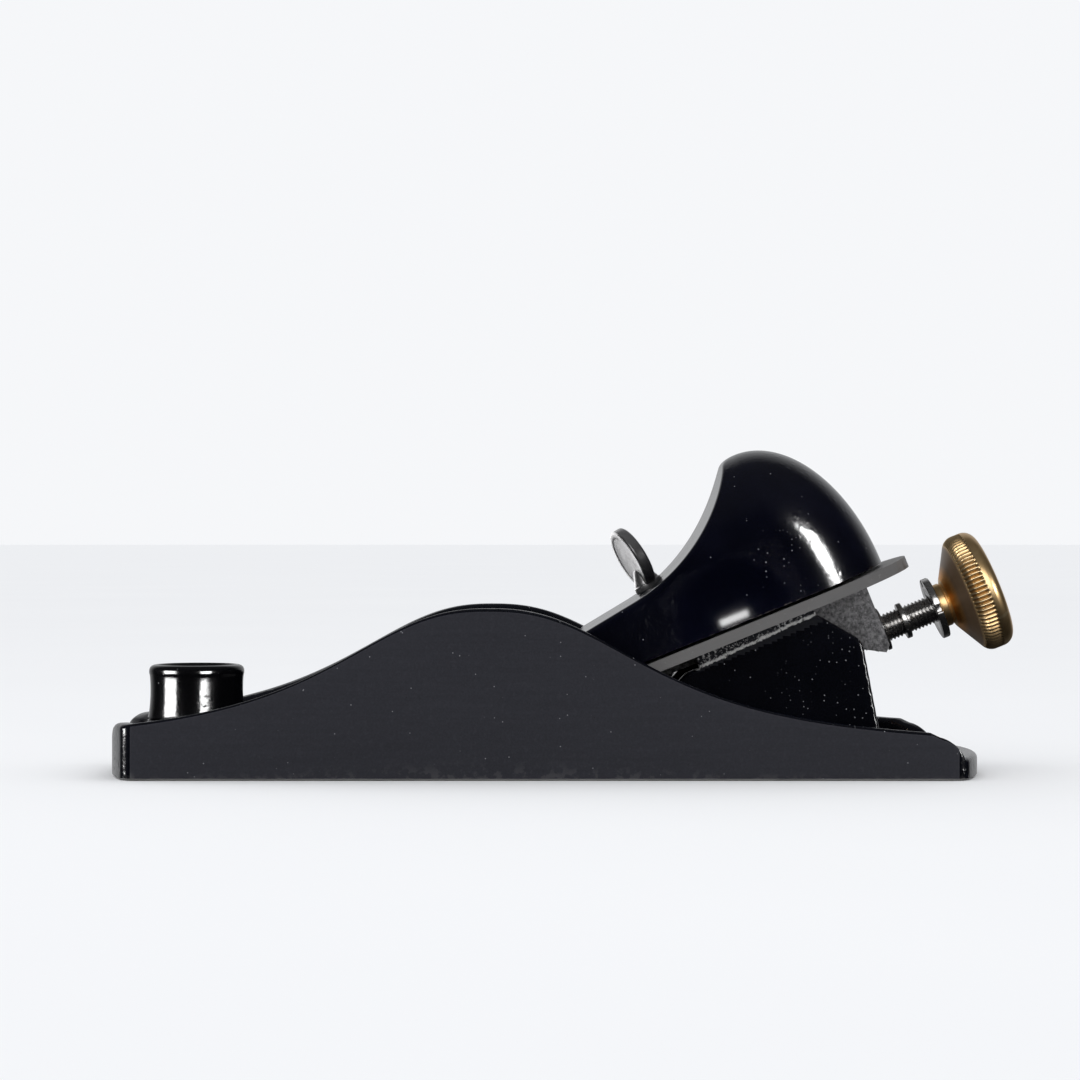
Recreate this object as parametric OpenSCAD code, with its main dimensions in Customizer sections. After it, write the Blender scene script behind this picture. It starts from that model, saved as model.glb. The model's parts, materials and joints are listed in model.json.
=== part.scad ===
// Low-angle block plane, 180 mm long, with a screw feed for depth and a swinging carrier for alignment.
// Frame: origin at the centre of the sole, +X towards the heel, +Y across, +Z up. The toe is at -X.
// Everything that lies on the bed is drawn in the bed frame: X runs up the bed from the mouth,
// Z is normal to the bed, and Z = 0 is the plane that the underside of the cutter rests on.

/* [Sole and cheeks] */
// Length of the sole, toe to heel
sole_l = 180; // [150:1:220]
// Width over the cheeks
body_w = 51; // [45:0.5:62]
// Thickness of each cheek
cheek_t = 3.5; // [2.5:0.1:4]
// Thickness of the sole plate
floor_t = 4.5; // [3.5:0.1:6]
// Height of the cheek at the top of its hump
hump_h = 34.7; // [31:0.1:40]
// Distance of the hump's top ahead of the sole's centre
hump_ahead = 11.4; // [8:0.1:14]
// Distance over which the hump falls to half its height, towards the toe
hump_toe = 36.3; // [32:0.1:42]
// The same towards the heel
hump_heel = 37.5; // [32:0.1:42]
// Height that the cheeks fade to at the toe
rim_toe = 7.4; // [6.5:0.1:10]
// Height that the cheeks fade to at the heel
rim_heel = 6.9; // [6:0.1:9]
// How far the rounded toe and heel stand proud of the sides' ends
nose_bulge = 5; // [3:0.1:8]

/* [Bed and mouth] */
// Angle of the bed to the sole
bed_angle = 22; // [20:0.5:24]
// Distance of the mouth ahead of the sole's centre
mouth_ahead = 30.4; // [27:0.1:33]
// Opening of the mouth ahead of the cutting edge
mouth_gap = 4.6; // [3:0.1:6]
// Length of the front bed ramp, measured up the bed
ramp_l = 17; // [12:0.5:20]

/* [Cutter] */
// Width of the cutter
cutter_w = 41; // [36:0.5:42]
// Length of the cutter to the top of its round end
cutter_l = 114; // [110:0.5:120]
// Thickness of the cutter
cutter_t = 2.3; // [1.8:0.1:3]
// Bevel angle ground on the upper face
bevel_angle = 25; // [20:1:35]
// Width of the long slot that the cap screw passes through
cutter_slot_w = 11; // [9:0.5:13]
// How far the edge is drawn back from the sole at rest, along the bed
cutter_back = 1; // [0.5:0.1:2]
// Spacing of the feed grooves on the underside
groove_pitch = 2.5; // [2:0.1:4]
// Depth of the feed grooves
groove_d = 0.8; // [0.5:0.1:1]
// Number of feed grooves
groove_n = 10; // [6:1:12]

/* [Lever cap] */
// Width of the lever cap
cap_w = 40.8; // [34:0.2:42]
// Wall of the hollow casting
cap_wall = 3; // [2.5:0.1:4]
// Height of the dome above the bed
dome_h = 35.2; // [30:0.1:40]
// Place of the dome's crest up the bed
dome_u = 90; // [86:0.5:94]
// Depth of the dome from its crest to its rear face
dome_l = 20; // [16:0.5:24]
// How far the front lip is behind the mouth
lip_u = 15.5; // [12:0.5:18]

/* [Cap screw and clamp screw] */
// Place of the cap screw up the bed
cap_screw_u = 34; // [32:0.5:36]
// Radius of the cap screw's shoulder
shoulder_r = 3.2; // [2.5:0.1:4]
// Radius of the cap screw's head
screw_head_r = 6; // [5:0.1:7]
// Radius of the clamp screw's thread
clamp_r = 2.5; // [2:0.1:3]
// Radius of the round paddle on the clamp screw
paddle_r = 6.9; // [5:0.1:8]
// Thickness of the paddle
paddle_t = 2.4; // [1.6:0.1:3]
// Turn of the paddle at rest
paddle_turn = 14.5; // [0:0.5:90]

/* [Depth adjuster] */
// Depth of the feed spindle's axis below the bed
spindle_drop = 10.3; // [9.5:0.1:12]
// Radius of the feed spindle's thread
spindle_r = 3; // [2.5:0.1:3.4]
// Radius of the spindle's plain journal
journal_r = 2.2; // [1.6:0.1:2.3]
// Width of the swinging carrier
carrier_w = 14; // [13:0.2:16]
// Thickness of the carrier's sheet steel
carrier_t = 1.6; // [1.2:0.1:2]
// Radius of the brass depth knob
knob_r = 12.6; // [10:0.1:14]
// Thickness of the brass depth knob
knob_t = 7; // [6:0.1:10]
// Swing of the carrier to each side, in degrees
swing = 1.5; // [0.5:0.1:1.5]

/* [Finger rest] */
// Distance of the finger rest behind the toe
rest_behind_toe = 17.1; // [16:0.1:22]
// Radius of the finger rest at its foot
rest_r = 10.2; // [8:0.1:12]
// Height of the finger rest
rest_h = 11.3; // [8:0.1:16]
// Height of the boss that it stands on, above the sole
boss_h = 11.1; // [8:0.1:14]

/* [Hidden] */

fit = 0.06;           // radial clearance of a running fit
gap = 0.05;           // clearance between flat faces that bear on each other
seat = 0.03;          // clearance of the cutter over its bed
seam = 0.01;          // how far fused features of one casting run into each other
overrun = 1;          // how far a cutter runs past the face that it cuts
mouth_x = -mouth_ahead;
toe_x = -sole_l / 2;
hump_x = -hump_ahead;
inner_w = body_w - 2 * cheek_t;
corner_r = 3;         // corner of the sole, seen from above
wall_top = hump_h + overrun;

// ---- shared outlines -------------------------------------------------------------------------

// Points on an arc about c, from angle a0 to a1
function arc(c, r, a0, a1, n) =
    [for (i = [0:n]) let (a = a0 + (a1 - a0) * i / n) c + r * [cos(a), sin(a)]];

// A quarter of the boat-shaped plan, from the side to the end, for half length hl and half width hw
nose_steps = 8;
function nose_r(hw, bulge) = (hw * hw + bulge * bulge) / (2 * bulge);
function end_points(hl, hw, bulge) = let (r = nose_r(hw, bulge), half = asin((hw - corner_r / 2) / r))
    concat(
        [[hl - bulge - corner_r, -hw]],
        [for (i = [-nose_steps:nose_steps]) let (a = half * i / nose_steps) [hl - r + r * cos(a), r * sin(a)]],
        [[hl - bulge - corner_r, hw]]);
function plan(inset) =
    let (hl = sole_l / 2 - inset, hw = body_w / 2 - inset, e = end_points(hl, hw, nose_bulge))
    concat(e, [for (p = e) [-p.x, -p.y]]);

// Height of the cheek at x
hump_power = 2.5;
function cheek_h(x) =
    let (rim = x < hump_x ? rim_toe : rim_heel, spread = x < hump_x ? hump_toe : hump_heel)
    rim + (hump_h - rim) / (1 + pow(abs(x - hump_x) / spread, hump_power));
toe_corner = 2.2;
heel_corner = 6.5;
cheek_steps = 40;
cheek_profile =
    let (x0 = toe_x + nose_bulge, x1 = sole_l / 2 - nose_bulge, zt = cheek_h(x0), zh = cheek_h(x1))
    concat(
        [[toe_x - overrun, 0], [toe_x - overrun, zt - toe_corner - 1.5], [toe_x, zt - toe_corner - 1]],
        arc([toe_x + toe_corner + 1, zt - toe_corner], toe_corner, 155, 95, 4),
        [for (i = [0:cheek_steps])
            let (x = x0 + (x1 - heel_corner - x0) * i / cheek_steps) [x, cheek_h(x)]],
        arc([x1 - heel_corner + 0.3, zh - heel_corner - 0.3], heel_corner, 80, 20, 6),
        [[sole_l / 2, 2.6], [sole_l / 2 + overrun, 2.4], [sole_l / 2 + overrun, 0]]);

// Turns the bed frame into the body's frame
module on_bed() {
    translate([mouth_x, 0, 0]) rotate([0, -bed_angle, 0]) children();
}

// Extrudes a side view, drawn in X and Z, across the width
module across(w) {
    rotate([90, 0, 0]) linear_extrude(height = w, center = true) children();
}

// A slot with round ends along X, from x0 to x1 between the centres
module slot_cut(x0, x1, r, z0, h) {
    for (x = [x0, x1]) translate([x, 0, z0]) cylinder(r = r, h = h, $fn = 48);
    translate([x0, -r, z0]) cube([x1 - x0, 2 * r, h]);
}

// ---- body casting ----------------------------------------------------------------------------

channel_w = carrier_w + 2 * (1.3 + 1.2 * swing);   // the carrier's ears swing 1.2 mm for each degree
post_w = channel_w + 2 * 5.3;
post_front_x = 22;
land_u0 = 66;
land_u1 = 91.5;
land_h = 2.6;                                // milled pads stand this far above the cast top in front
land_rear_h = 1.3;
channel_floor = spindle_drop + 6;
eye_drop = carrier_t + 0.8;                  // how far the pivot boss stays below the bed
post_corner_r = 4;
post_foot_x = 69;
bed_edge = 1;                                // blunted edge of the bed where it meets the sole

// World coordinates of a point in the bed frame
function bed_x(u, w) = mouth_x + u * cos(bed_angle) - w * sin(bed_angle);
function bed_z(u, w) = u * sin(bed_angle) + w * cos(bed_angle);
function bed_pt(u, w) = [bed_x(u, w), bed_z(u, w)];

module boat() {
    intersection() {
        linear_extrude(height = wall_top) polygon(plan(0));
        across(body_w + 2 * overrun) polygon(cheek_profile);
    }
}

// Mouth through the sole, with the bed sloping down into it
module mouth_cut() {
    front = mouth_x - mouth_gap;
    rear = mouth_x + bed_edge;
    top = floor_t + overrun;
    across(inner_w) polygon([
        [front, -overrun], [rear, -overrun], [rear, bed_edge * tan(bed_angle) - seat],
        bed_pt(top / sin(bed_angle), -seat), [front, top]]);
}

module front_ramp() {
    across(inner_w + 2 * seam) polygon([
        [mouth_x + bed_edge, 0], [mouth_x + bed_edge, bed_edge * tan(bed_angle) - seat],
        bed_pt(ramp_l, -seat), [bed_x(ramp_l, 0) + 1.5, 0]]);
}

module pivot_boss() {
    across(18) polygon([
        [bed_x(cap_screw_u - 9, 0), 0], bed_pt(cap_screw_u - 8, -eye_drop),
        bed_pt(cap_screw_u + 8, -eye_drop), [bed_x(cap_screw_u + 9, 0) + 2, 0]]);
}

module post_side() {
    chamfer_end = [post_foot_x - 4.4, bed_z(98.3, -9.8)];
    polygon(concat(
        [[post_front_x, 0], [post_front_x + 3, bed_z(land_u0 - 6, -land_h) - 3],
            bed_pt(land_u0 - 3, -land_h),
            bed_pt(land_u0, -land_h), bed_pt(land_u1 + 0.8, -land_rear_h)],
        arc(chamfer_end + [-3.1, -2.2], post_corner_r, 48, 12, 4),
        [[post_foot_x, floor_t + 3], [post_foot_x + 1.2, 0]]));
}

module bed_lands() {
    across(post_w - 0.6) polygon([
        bed_pt(land_u0, -land_h - 0.5), bed_pt(land_u0, -seat), bed_pt(land_u1, -seat),
        bed_pt(land_u1 + 0.7, -0.8), bed_pt(land_u1, -land_h)]);
}

module body_casting() {
    color([0.055, 0.057, 0.065]) difference() {
        union() {
            difference() {
                boat();
                translate([0, 0, floor_t]) linear_extrude(height = wall_top) polygon(plan(cheek_t));
                mouth_cut();
            }
            intersection() {
                boat();
                union() {
                    front_ramp();
                    translate([toe_x + rest_behind_toe, 0, 0])
                        cylinder(r = rest_r + 0.2, h = boss_h, $fn = 64);
                }
            }
            translate([toe_x + rest_behind_toe, 0, floor_t - seam])
                cylinder(r = rest_r + 0.2, h = boss_h - floor_t + seam, $fn = 64);
            pivot_boss();
            across(post_w) post_side();
            bed_lands();
        }
        // channel for the carrier, through the top of the post
        on_bed() translate([land_u0 - 12, -channel_w / 2, -channel_floor])
            cube([60, channel_w, channel_floor + 4]);
        // threaded hole for the cap screw
        on_bed() translate([cap_screw_u, 0, -eye_drop - cap_thread_l - 0.6])
            cylinder(r = cap_thread_r + fit, h = 20, $fn = 48);
        // threaded hole for the finger rest's screw
        translate([toe_x + rest_behind_toe, 0, 2.5])
            cylinder(r = rest_thread_r + fit, h = boss_h, $fn = 48);
    }
}

// ---- finger rest -----------------------------------------------------------------------------

rest_thread_r = 2.4;
rest_dish = 1.6;
rest_top_r = rest_r - 0.9;
rest_bore_r = rest_thread_r + 0.3;
rest_sink_r = 4.9;
rest_sink_d = 3.6;
washer_t = 0.6;

module at_rest() {
    translate([toe_x + rest_behind_toe, 0, boss_h + gap]) children();
}

module finger_rest() {
    color([0.02, 0.02, 0.025]) at_rest() rotate_extrude($fn = 96) polygon(concat(
        [[rest_bore_r, 0], [rest_r - 0.3, 0], [rest_r, 0.3]],
        arc([rest_top_r - 1.6, rest_h - 1.6], 1.6, 5, 85, 6),
        [for (i = [0:5]) let (r = (rest_top_r - 2.2) - i * (rest_top_r - 2.2 - rest_sink_r) / 5)
            [r, rest_h - rest_dish * (1 - pow(r / (rest_top_r - 1.6), 4))]],
        [[rest_sink_r, rest_h - rest_sink_d], [rest_bore_r, rest_h - rest_sink_d]]));
}

module finger_rest_washer() {
    color([0.6, 0.6, 0.62]) at_rest() translate([0, 0, rest_h - rest_sink_d]) difference() {
        cylinder(r = rest_sink_r - 0.3, h = washer_t, $fn = 64);
        translate([0, 0, -overrun]) cylinder(r = rest_thread_r + fit, h = washer_t + 2 * overrun, $fn = 48);
    }
}

// A slotted screw on the Z axis: head upwards from z = 0, shank downwards
module slotted_screw(head_r, head_h, shank_r, shank_l, slot_t, slot_d) {
    difference() {
        union() {
            cylinder(r = head_r, h = head_h * 0.6, $fn = 64);
            translate([0, 0, head_h * 0.6])
                cylinder(r1 = head_r, r2 = head_r * 0.82, h = head_h * 0.4, $fn = 64);
            translate([0, 0, -shank_l]) cylinder(r = shank_r, h = shank_l, $fn = 48);
        }
        translate([-head_r - overrun, -slot_t / 2, head_h - slot_d])
            cube([2 * (head_r + overrun), slot_t, slot_d + overrun]);
    }
}

module finger_rest_screw() {
    color([0.62, 0.62, 0.64]) at_rest() translate([0, 0, rest_h - rest_sink_d + washer_t])
        rotate([0, 0, 35])
            slotted_screw(4.2, 2.3, rest_thread_r, rest_h - rest_sink_d + washer_t + 6, 1.1, 1.2);
}

// ---- cap screw and carrier pivot -------------------------------------------------------------

cap_thread_r = 2.5;
cap_thread_l = 7.4;
cap_screw_head_h = 2.6;
cap_web_top = 10.3;                          // seat of the screw's head on the lever cap
washer_r = 6.6;

module cap_screw() {
    foot = -eye_drop;
    color([0.66, 0.66, 0.68]) on_bed() translate([cap_screw_u, 0, 0]) {
        translate([0, 0, cap_web_top + gap]) rotate([0, 0, 62])
            slotted_screw(screw_head_r, cap_screw_head_h, shoulder_r, cap_web_top - foot, 1.4, 1.3);
        translate([0, 0, foot - cap_thread_l])
            cylinder(r = cap_thread_r, h = cap_thread_l + 2 * gap, $fn = 48);
    }
}

module pivot_washer() {
    t = eye_drop - carrier_t - 0.4 - 2 * gap;
    color([0.55, 0.55, 0.57]) on_bed() translate([cap_screw_u, 0, -eye_drop + gap / 2]) difference() {
        cylinder(r = washer_r, h = t, $fn = 64);
        translate([0, 0, -overrun]) cylinder(r = shoulder_r + fit, h = t + 2 * overrun, $fn = 48);
    }
}

// ---- cutter ----------------------------------------------------------------------------------

slot_u0 = 22;                                // ends of the cutter's long slot, from the edge
slot_u1 = 60;
groove_w = 1.3;
groove_u0 = 71.8;
tooth_groove = 4;                            // the groove that the feed tooth sits in
tooth_u = cutter_back + groove_u0 + tooth_groove * groove_pitch;

module cutter() {
    bevel_l = cutter_t / tan(bevel_angle);
    round_r = cutter_w / 2;
    color([0.43, 0.42, 0.43]) on_bed() translate([cutter_back, 0, 0]) difference() {
        intersection() {
            union() {
                translate([0, -cutter_w / 2, 0]) cube([cutter_l - round_r, cutter_w, cutter_t]);
                translate([cutter_l - round_r, 0, 0]) cylinder(r = round_r, h = cutter_t, $fn = 128);
            }
            across(cutter_w + 2 * overrun) polygon([
                [0, 0], [bevel_l, cutter_t], [bevel_l, cutter_t + overrun],
                [cutter_l + overrun, cutter_t + overrun],
                [cutter_l + overrun, -overrun], [1, -overrun], [1, 0]]);
        }
        slot_cut(slot_u0, slot_u1, cutter_slot_w / 2, -overrun, cutter_t + 2 * overrun);
        for (i = [0:groove_n - 1])
            translate([groove_u0 + i * groove_pitch - groove_w / 2, -5.6, -overrun])
                cube([groove_w, 11.2, groove_d + overrun]);
    }
}

// ---- swinging carrier ------------------------------------------------------------------------

carrier_top = -0.4;
strip_bottom = carrier_top - carrier_t;
wall_u = 103;                                // inner face of the carrier's rear wall
leg_u0 = 67;
leg_drop = spindle_drop + 1;
wall_drop = spindle_drop + 4.3;
eye_r = 7.6;
tooth_slot = [tooth_u - 3.4, tooth_u + 4.4];
tooth_slot_r = 4.7;

module carrier_leg() {
    across(carrier_t) polygon([
        [leg_u0, strip_bottom + seam], [leg_u0 + 5, -leg_drop], [wall_u - 5.5, -leg_drop],
        [wall_u + carrier_t - 1.2, -wall_drop], [wall_u + carrier_t, -wall_drop + 1.2],
        [wall_u + carrier_t, strip_bottom + seam]]);
}

module adjuster_carrier() {
    color([0.33, 0.33, 0.35]) on_bed() difference() {
        union() {
            translate([cap_screw_u, 0, strip_bottom]) cylinder(r = eye_r, h = carrier_t, $fn = 64);
            translate([cap_screw_u, -carrier_w / 2 + 1, strip_bottom])
                cube([leg_u0 - cap_screw_u + 1, carrier_w - 2, carrier_t]);
            translate([leg_u0, -carrier_w / 2, strip_bottom])
                cube([wall_u + carrier_t - leg_u0, carrier_w, carrier_t]);
            for (side = [-1, 1]) translate([0, side * (carrier_w - carrier_t) / 2, 0]) carrier_leg();
            translate([wall_u, -carrier_w / 2, -wall_drop + 1.2])
                cube([carrier_t, carrier_w, wall_drop - 1.2 + carrier_top]);
        }
        translate([cap_screw_u, 0, strip_bottom - overrun])
            cylinder(r = shoulder_r + fit, h = carrier_t + 2 * overrun, $fn = 48);
        slot_cut(tooth_slot[0], tooth_slot[1], tooth_slot_r,
            strip_bottom - overrun, carrier_t + 2 * overrun);
        slot_cut(cap_screw_u + 13, leg_u0 - 4, 2.4, strip_bottom - overrun, carrier_t + 2 * overrun);
        translate([wall_u - overrun, 0, -spindle_drop]) rotate([0, 90, 0])
            cylinder(r = journal_r + fit, h = carrier_t + 2 * overrun, $fn = 48);
    }
}

// ---- feed nut, spindle and depth knob --------------------------------------------------------

nut_l = 10;
nut_w = carrier_w - 2 * carrier_t - 0.6;
tooth_w = groove_w - 0.2;
collar_u = wall_u + carrier_t + 0.9;         // shoulder behind the thrust washer
flange_u = collar_u + 3.8;
flange_r = 3.85;
locknut_u = 116.2;
locknut_r = 6.6;
knob_u = 123;
hub_r = 4.6;
spindle_front = tooth_u - 10;
spindle_rear = knob_u + knob_t - 0.8;
clip_t = 0.7;
clip_u = wall_u - clip_t - gap;

module on_spindle() {
    on_bed() translate([0, 0, -spindle_drop]) rotate([0, 90, 0]) children();
}

// A turned length of the spindle's axis, from u0 to u1
module turned(r, u0, u1) {
    translate([0, 0, u0]) cylinder(r = r, h = u1 - u0, $fn = 64);
}

module feed_nut() {
    tooth_top = groove_d - 0.15;
    color([0.5, 0.5, 0.52]) on_bed() difference() {
        union() {
            translate([tooth_u - nut_l / 2, -nut_w / 2, -spindle_drop - 5.2])
                cube([nut_l, nut_w, spindle_drop + 5.2 + strip_bottom - 0.3]);
            translate([tooth_u - tooth_w / 2, -4.2, strip_bottom - 0.3 - seam])
                cube([tooth_w, 8.4, tooth_top - strip_bottom + 0.3 + seam]);
        }
        translate([tooth_u - nut_l / 2 - overrun, 0, -spindle_drop]) rotate([0, 90, 0])
            cylinder(r = spindle_r + fit, h = nut_l + 2 * overrun, $fn = 64);
    }
}

module feed_spindle() {
    color([0.72, 0.72, 0.74]) on_spindle() {
        turned(spindle_r, spindle_front, clip_u - gap);
        turned(journal_r - 0.5, clip_u - gap - seam, clip_u + clip_t + gap);
        turned(journal_r, clip_u + clip_t + gap - seam, collar_u + seam);
        turned(spindle_r, collar_u, spindle_rear);
        turned(flange_r, flange_u, flange_u + 1.1);
    }
}

module spindle_clip() {
    color([0.3, 0.3, 0.31]) on_spindle() difference() {
        turned(journal_r + 2, clip_u, clip_u + clip_t);
        turned(journal_r - 0.5 + 0.02, clip_u - overrun, clip_u + clip_t + overrun);
        translate([0, -1.2, clip_u - overrun]) cube([journal_r + 3, 2.4, clip_t + 2 * overrun]);
    }
}

module thrust_washer() {
    u0 = wall_u + carrier_t + gap;
    color([0.7, 0.7, 0.72]) on_spindle() difference() {
        turned(4.6, u0, collar_u - gap);
        turned(journal_r + fit, u0 - overrun, collar_u + overrun);
    }
}

module knob_locknut() {
    color([0.74, 0.74, 0.76]) on_spindle() difference() {
        turned(locknut_r, locknut_u, locknut_u + 1.5);
        turned(spindle_r + 0.02, locknut_u - overrun, locknut_u + 1.5 + overrun);
        for (a = [0, 90]) rotate([0, 0, a]) translate([-locknut_r - overrun, -0.8, locknut_u - overrun])
            cube([2.6, 1.6, 1.5 + 2 * overrun]);
    }
}

module depth_knob() {
    rim = 2.6;                               // radius of the knob's rounded edges
    cone = 60;                               // angle of the coned front to the spindle
    hub_u = locknut_u + 1.5 + gap;
    rim_r = knob_r - rim;
    rim_u = knob_u + rim;
    cone_u = rim_u - rim * sin(cone);        // where the cone meets the rounded edge
    cone_r = rim_r + rim * cos(cone);
    foot_r = hub_r + 0.6;                    // foot of the cone, round the hub
    foot_u = cone_u - (cone_r - foot_r) / tan(cone);
    color([0.72, 0.5, 0.24]) on_spindle() difference() {
        rotate_extrude($fn = 144) polygon(concat(
            [[0.5, hub_u], [hub_r, hub_u], [hub_r, foot_u - 0.2], [foot_r, foot_u]],
            arc([rim_r, rim_u], rim, -cone, 0, 6),
            arc([rim_r, knob_u + knob_t - rim], rim, 0, 90, 6),
            [[knob_r * 0.6, knob_u + knob_t - 0.8], [0.5, knob_u + knob_t - 0.8]]));
        turned(spindle_r + 0.02, locknut_u, knob_u + knob_t + overrun);
    }
}

// ---- lever cap -------------------------------------------------------------------------------

cap_top_u = 50.8;                            // a point on the cap's straight back, and its slope
cap_top_w = 13.8;
cap_slope = 9.1;
scoop_u = 58;                                // where the straight back meets the scoop
scoop_r = 40.6;
scoop_sweep = 49.5;                          // how far the scoop's arc turns
skirt_w = 3;                                 // lower edge of the cap's sides, above the bed
dome_round = dome_l - 1.5;                   // rounding of the dome's top and rear into its flat sides
arch_steps = 20;
dome_rings = 8;
keyhole_r = screw_head_r + 0.5;
cap_travel = 8;
clamp_u = 63.2;                              // where the clamp screw's axis meets the cap's back
clamp_lean = cap_slope;

function cap_back(u) = cap_top_w + (u - cap_top_u) * tan(cap_slope);
scoop_foot = [scoop_u, cap_back(scoop_u)];
scoop_c = scoop_foot + scoop_r * [-sin(cap_slope), cos(cap_slope)];

// Side view of the cap's back, moved in by t, from the lip to the dome's crest
function cap_side(t) = concat(
    arc(scoop_c, scoop_r + t, cap_slope - 90, cap_slope - 90 + scoop_sweep, 14),
    t == 0 ? [[dome_u - 2, dome_h - 0.45]] : [],
    [[dome_u, dome_h - t]]);

// The arch across the cap: half width b, sides plain up to height c, then rounded by r over the top
function arch(b, c, r) =
    [for (i = [0:arch_steps]) let (f = 180 * i / arch_steps) [b * cos(f), c + r * sin(f)]];

// The front of the cap, cut from an arched bar, in from the outside by t
module cap_front(t, u0, low) {
    b = cap_w / 2 - t;
    r = dome_round - t;
    intersection() {
        translate([u0, 0, low]) rotate([90, 0, 90]) linear_extrude(height = dome_u - u0)
            polygon(concat([[b, 0]], arch(b, dome_h - t - low - r, r), [[-b, 0]]));
        across(cap_w + 2 * overrun) polygon(concat(
            [[u0, low - overrun], [u0, cap_back(u0) - t]], cap_side(t),
            [[dome_u + overrun, dome_h - t], [dome_u + overrun, low - overrun]]));
    }
}

// The rear of the dome: the arch laid over backwards about its foot, ring by ring, until it lies flat
module dome_rear(t, low) {
    b = cap_w / 2 - t;
    r = dome_round - t;
    c = dome_h - t - low - r;
    side = dome_l - dome_round;              // how far the flat sides run on behind the crest
    m = arch_steps;
    n = dome_rings;
    rings = [for (k = [0:n]) let (a = 90 * k / n) for (p = arch(b, c, r))
        [dome_u + (side + p.y - c) * sin(a), p.x, low + p.y * cos(a)]];
    feet = [for (y = [b, -b]) for (k = [0:n - 1]) [dome_u + side * sin(90 * k / n), y, low]];
    near = len(rings);
    far = near + n;
    last = n * (m + 1);
    polyhedron(points = concat(rings, feet), faces = concat(
        [for (k = [0:n - 1]) for (i = [0:m - 1]) let (p = k * (m + 1) + i, q = p + m + 1)
            each [[p, q, p + 1], [p + 1, q, q + 1]]],
        [for (k = [0:n - 2]) each [[near + k, near + k + 1, (k + 1) * (m + 1), k * (m + 1)],
            [far + k + 1, far + k, k * (m + 1) + m, (k + 1) * (m + 1) + m]]],
        [[near + n - 1, last, last - m - 1], [far + n - 1, last - 1, last + m]],
        [concat([near], [for (i = [0:m]) i], [far])],
        [concat(
            [for (k = [n - 1:-1:0]) near + k],
            [for (k = [0:n - 1]) far + k],
            [for (i = [m:-1:0]) last + i])]));
}

// The clamp screw's axis: z = 0 where it meets the cap's back, +z out of the cap
module on_clamp() {
    on_bed() translate([clamp_u, 0, cap_back(clamp_u)]) rotate([0, -clamp_lean, 0]) children();
}

clamp_boss_r = 5.2;
clamp_boss_l = 7;
spot_r = clamp_r + 1.1;
spot_z = 0.1;

module lever_cap() {
    web_u = cap_screw_u;
    color([0.03, 0.03, 0.04]) difference() {
        union() {
            on_bed() difference() {
                union() {
                    cap_front(0, lip_u, skirt_w);
                    dome_rear(0, skirt_w);
                    // front lip that bears on the cutter
                    translate([lip_u, -cap_w / 2, cutter_t + gap]) cube([5, cap_w, skirt_w - cutter_t + 1]);
                }
                difference() {
                    union() {
                        cap_front(cap_wall, lip_u + 6, skirt_w - overrun);
                        dome_rear(cap_wall, skirt_w - overrun);
                    }
                    // web round the keyhole
                    translate([lip_u, -12, cap_web_top - 3.6]) cube([web_u + 8 - lip_u, 24, 20]);
                }
            }
            // boss for the clamp screw's thread
            on_clamp() translate([0, 0, -clamp_boss_l])
                cylinder(r = clamp_boss_r, h = clamp_boss_l - 1, $fn = 48);
        }
        on_bed() {
            // flat seat for the head of the cap screw
            slot_cut(web_u - cap_travel, web_u, screw_head_r + 0.6, cap_web_top, 12);
            // keyhole
            slot_cut(web_u - cap_travel, web_u, shoulder_r + 0.3, cutter_t, 12);
            translate([web_u - cap_travel, 0, cutter_t]) cylinder(r = keyhole_r, h = 12, $fn = 64);
        }
        on_clamp() {
            translate([0, 0, -clamp_boss_l - overrun])
                cylinder(r = clamp_r + fit, h = clamp_boss_l + 2 * overrun + 2, $fn = 48);
            // spot face under the clamp screw's collar
            translate([0, 0, spot_z]) cylinder(r = spot_r, h = 6, $fn = 48);
        }
    }
}

// ---- clamp screw and its pad -----------------------------------------------------------------

pad_r = 4.2;
pad_t = 1.2;
// Distance down the screw's axis from the cap's back to the top of the cutter
clamp_reach = (cap_back(clamp_u) - cutter_t) / cos(clamp_lean);
tip_z = -clamp_reach + 2.6;

module clamp_screw() {
    color([0.6, 0.6, 0.6]) on_clamp() rotate([0, 0, paddle_turn]) {
        turned(clamp_r, tip_z, 0.6);
        turned(clamp_r + 0.6, spot_z + gap, 1.6);
        translate([0, 0, paddle_r + spot_z + 3 * gap]) rotate([0, 90, 0])
            cylinder(r = paddle_r, h = paddle_t, center = true, $fn = 96);
    }
}

// Brass pad that the screw's end turns on, its foot flat on the cutter
module clamp_pad() {
    foot_u = clamp_u + clamp_reach * sin(clamp_lean);
    color([0.7, 0.5, 0.25]) {
        on_bed() translate([foot_u, 0, cutter_t + gap]) cylinder(r = pad_r, h = pad_t, $fn = 64);
        on_clamp() turned(clamp_r, -clamp_reach + pad_t / 2, tip_z - gap);
    }
}

// ---- assembly --------------------------------------------------------------------------------

body_casting();
finger_rest();
finger_rest_screw();
finger_rest_washer();
cap_screw();
pivot_washer();
cutter();
feed_nut();
adjuster_carrier();
feed_spindle();
thrust_washer();
spindle_clip();
knob_locknut();
depth_knob();
lever_cap();
clamp_screw();
clamp_pad();
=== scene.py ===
"""Looks of a low-angle block plane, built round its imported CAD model. Working sizes are in millimetres."""

import json
import math

import bmesh
import bpy
import numpy as np
from mathutils import Matrix, Vector


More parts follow.
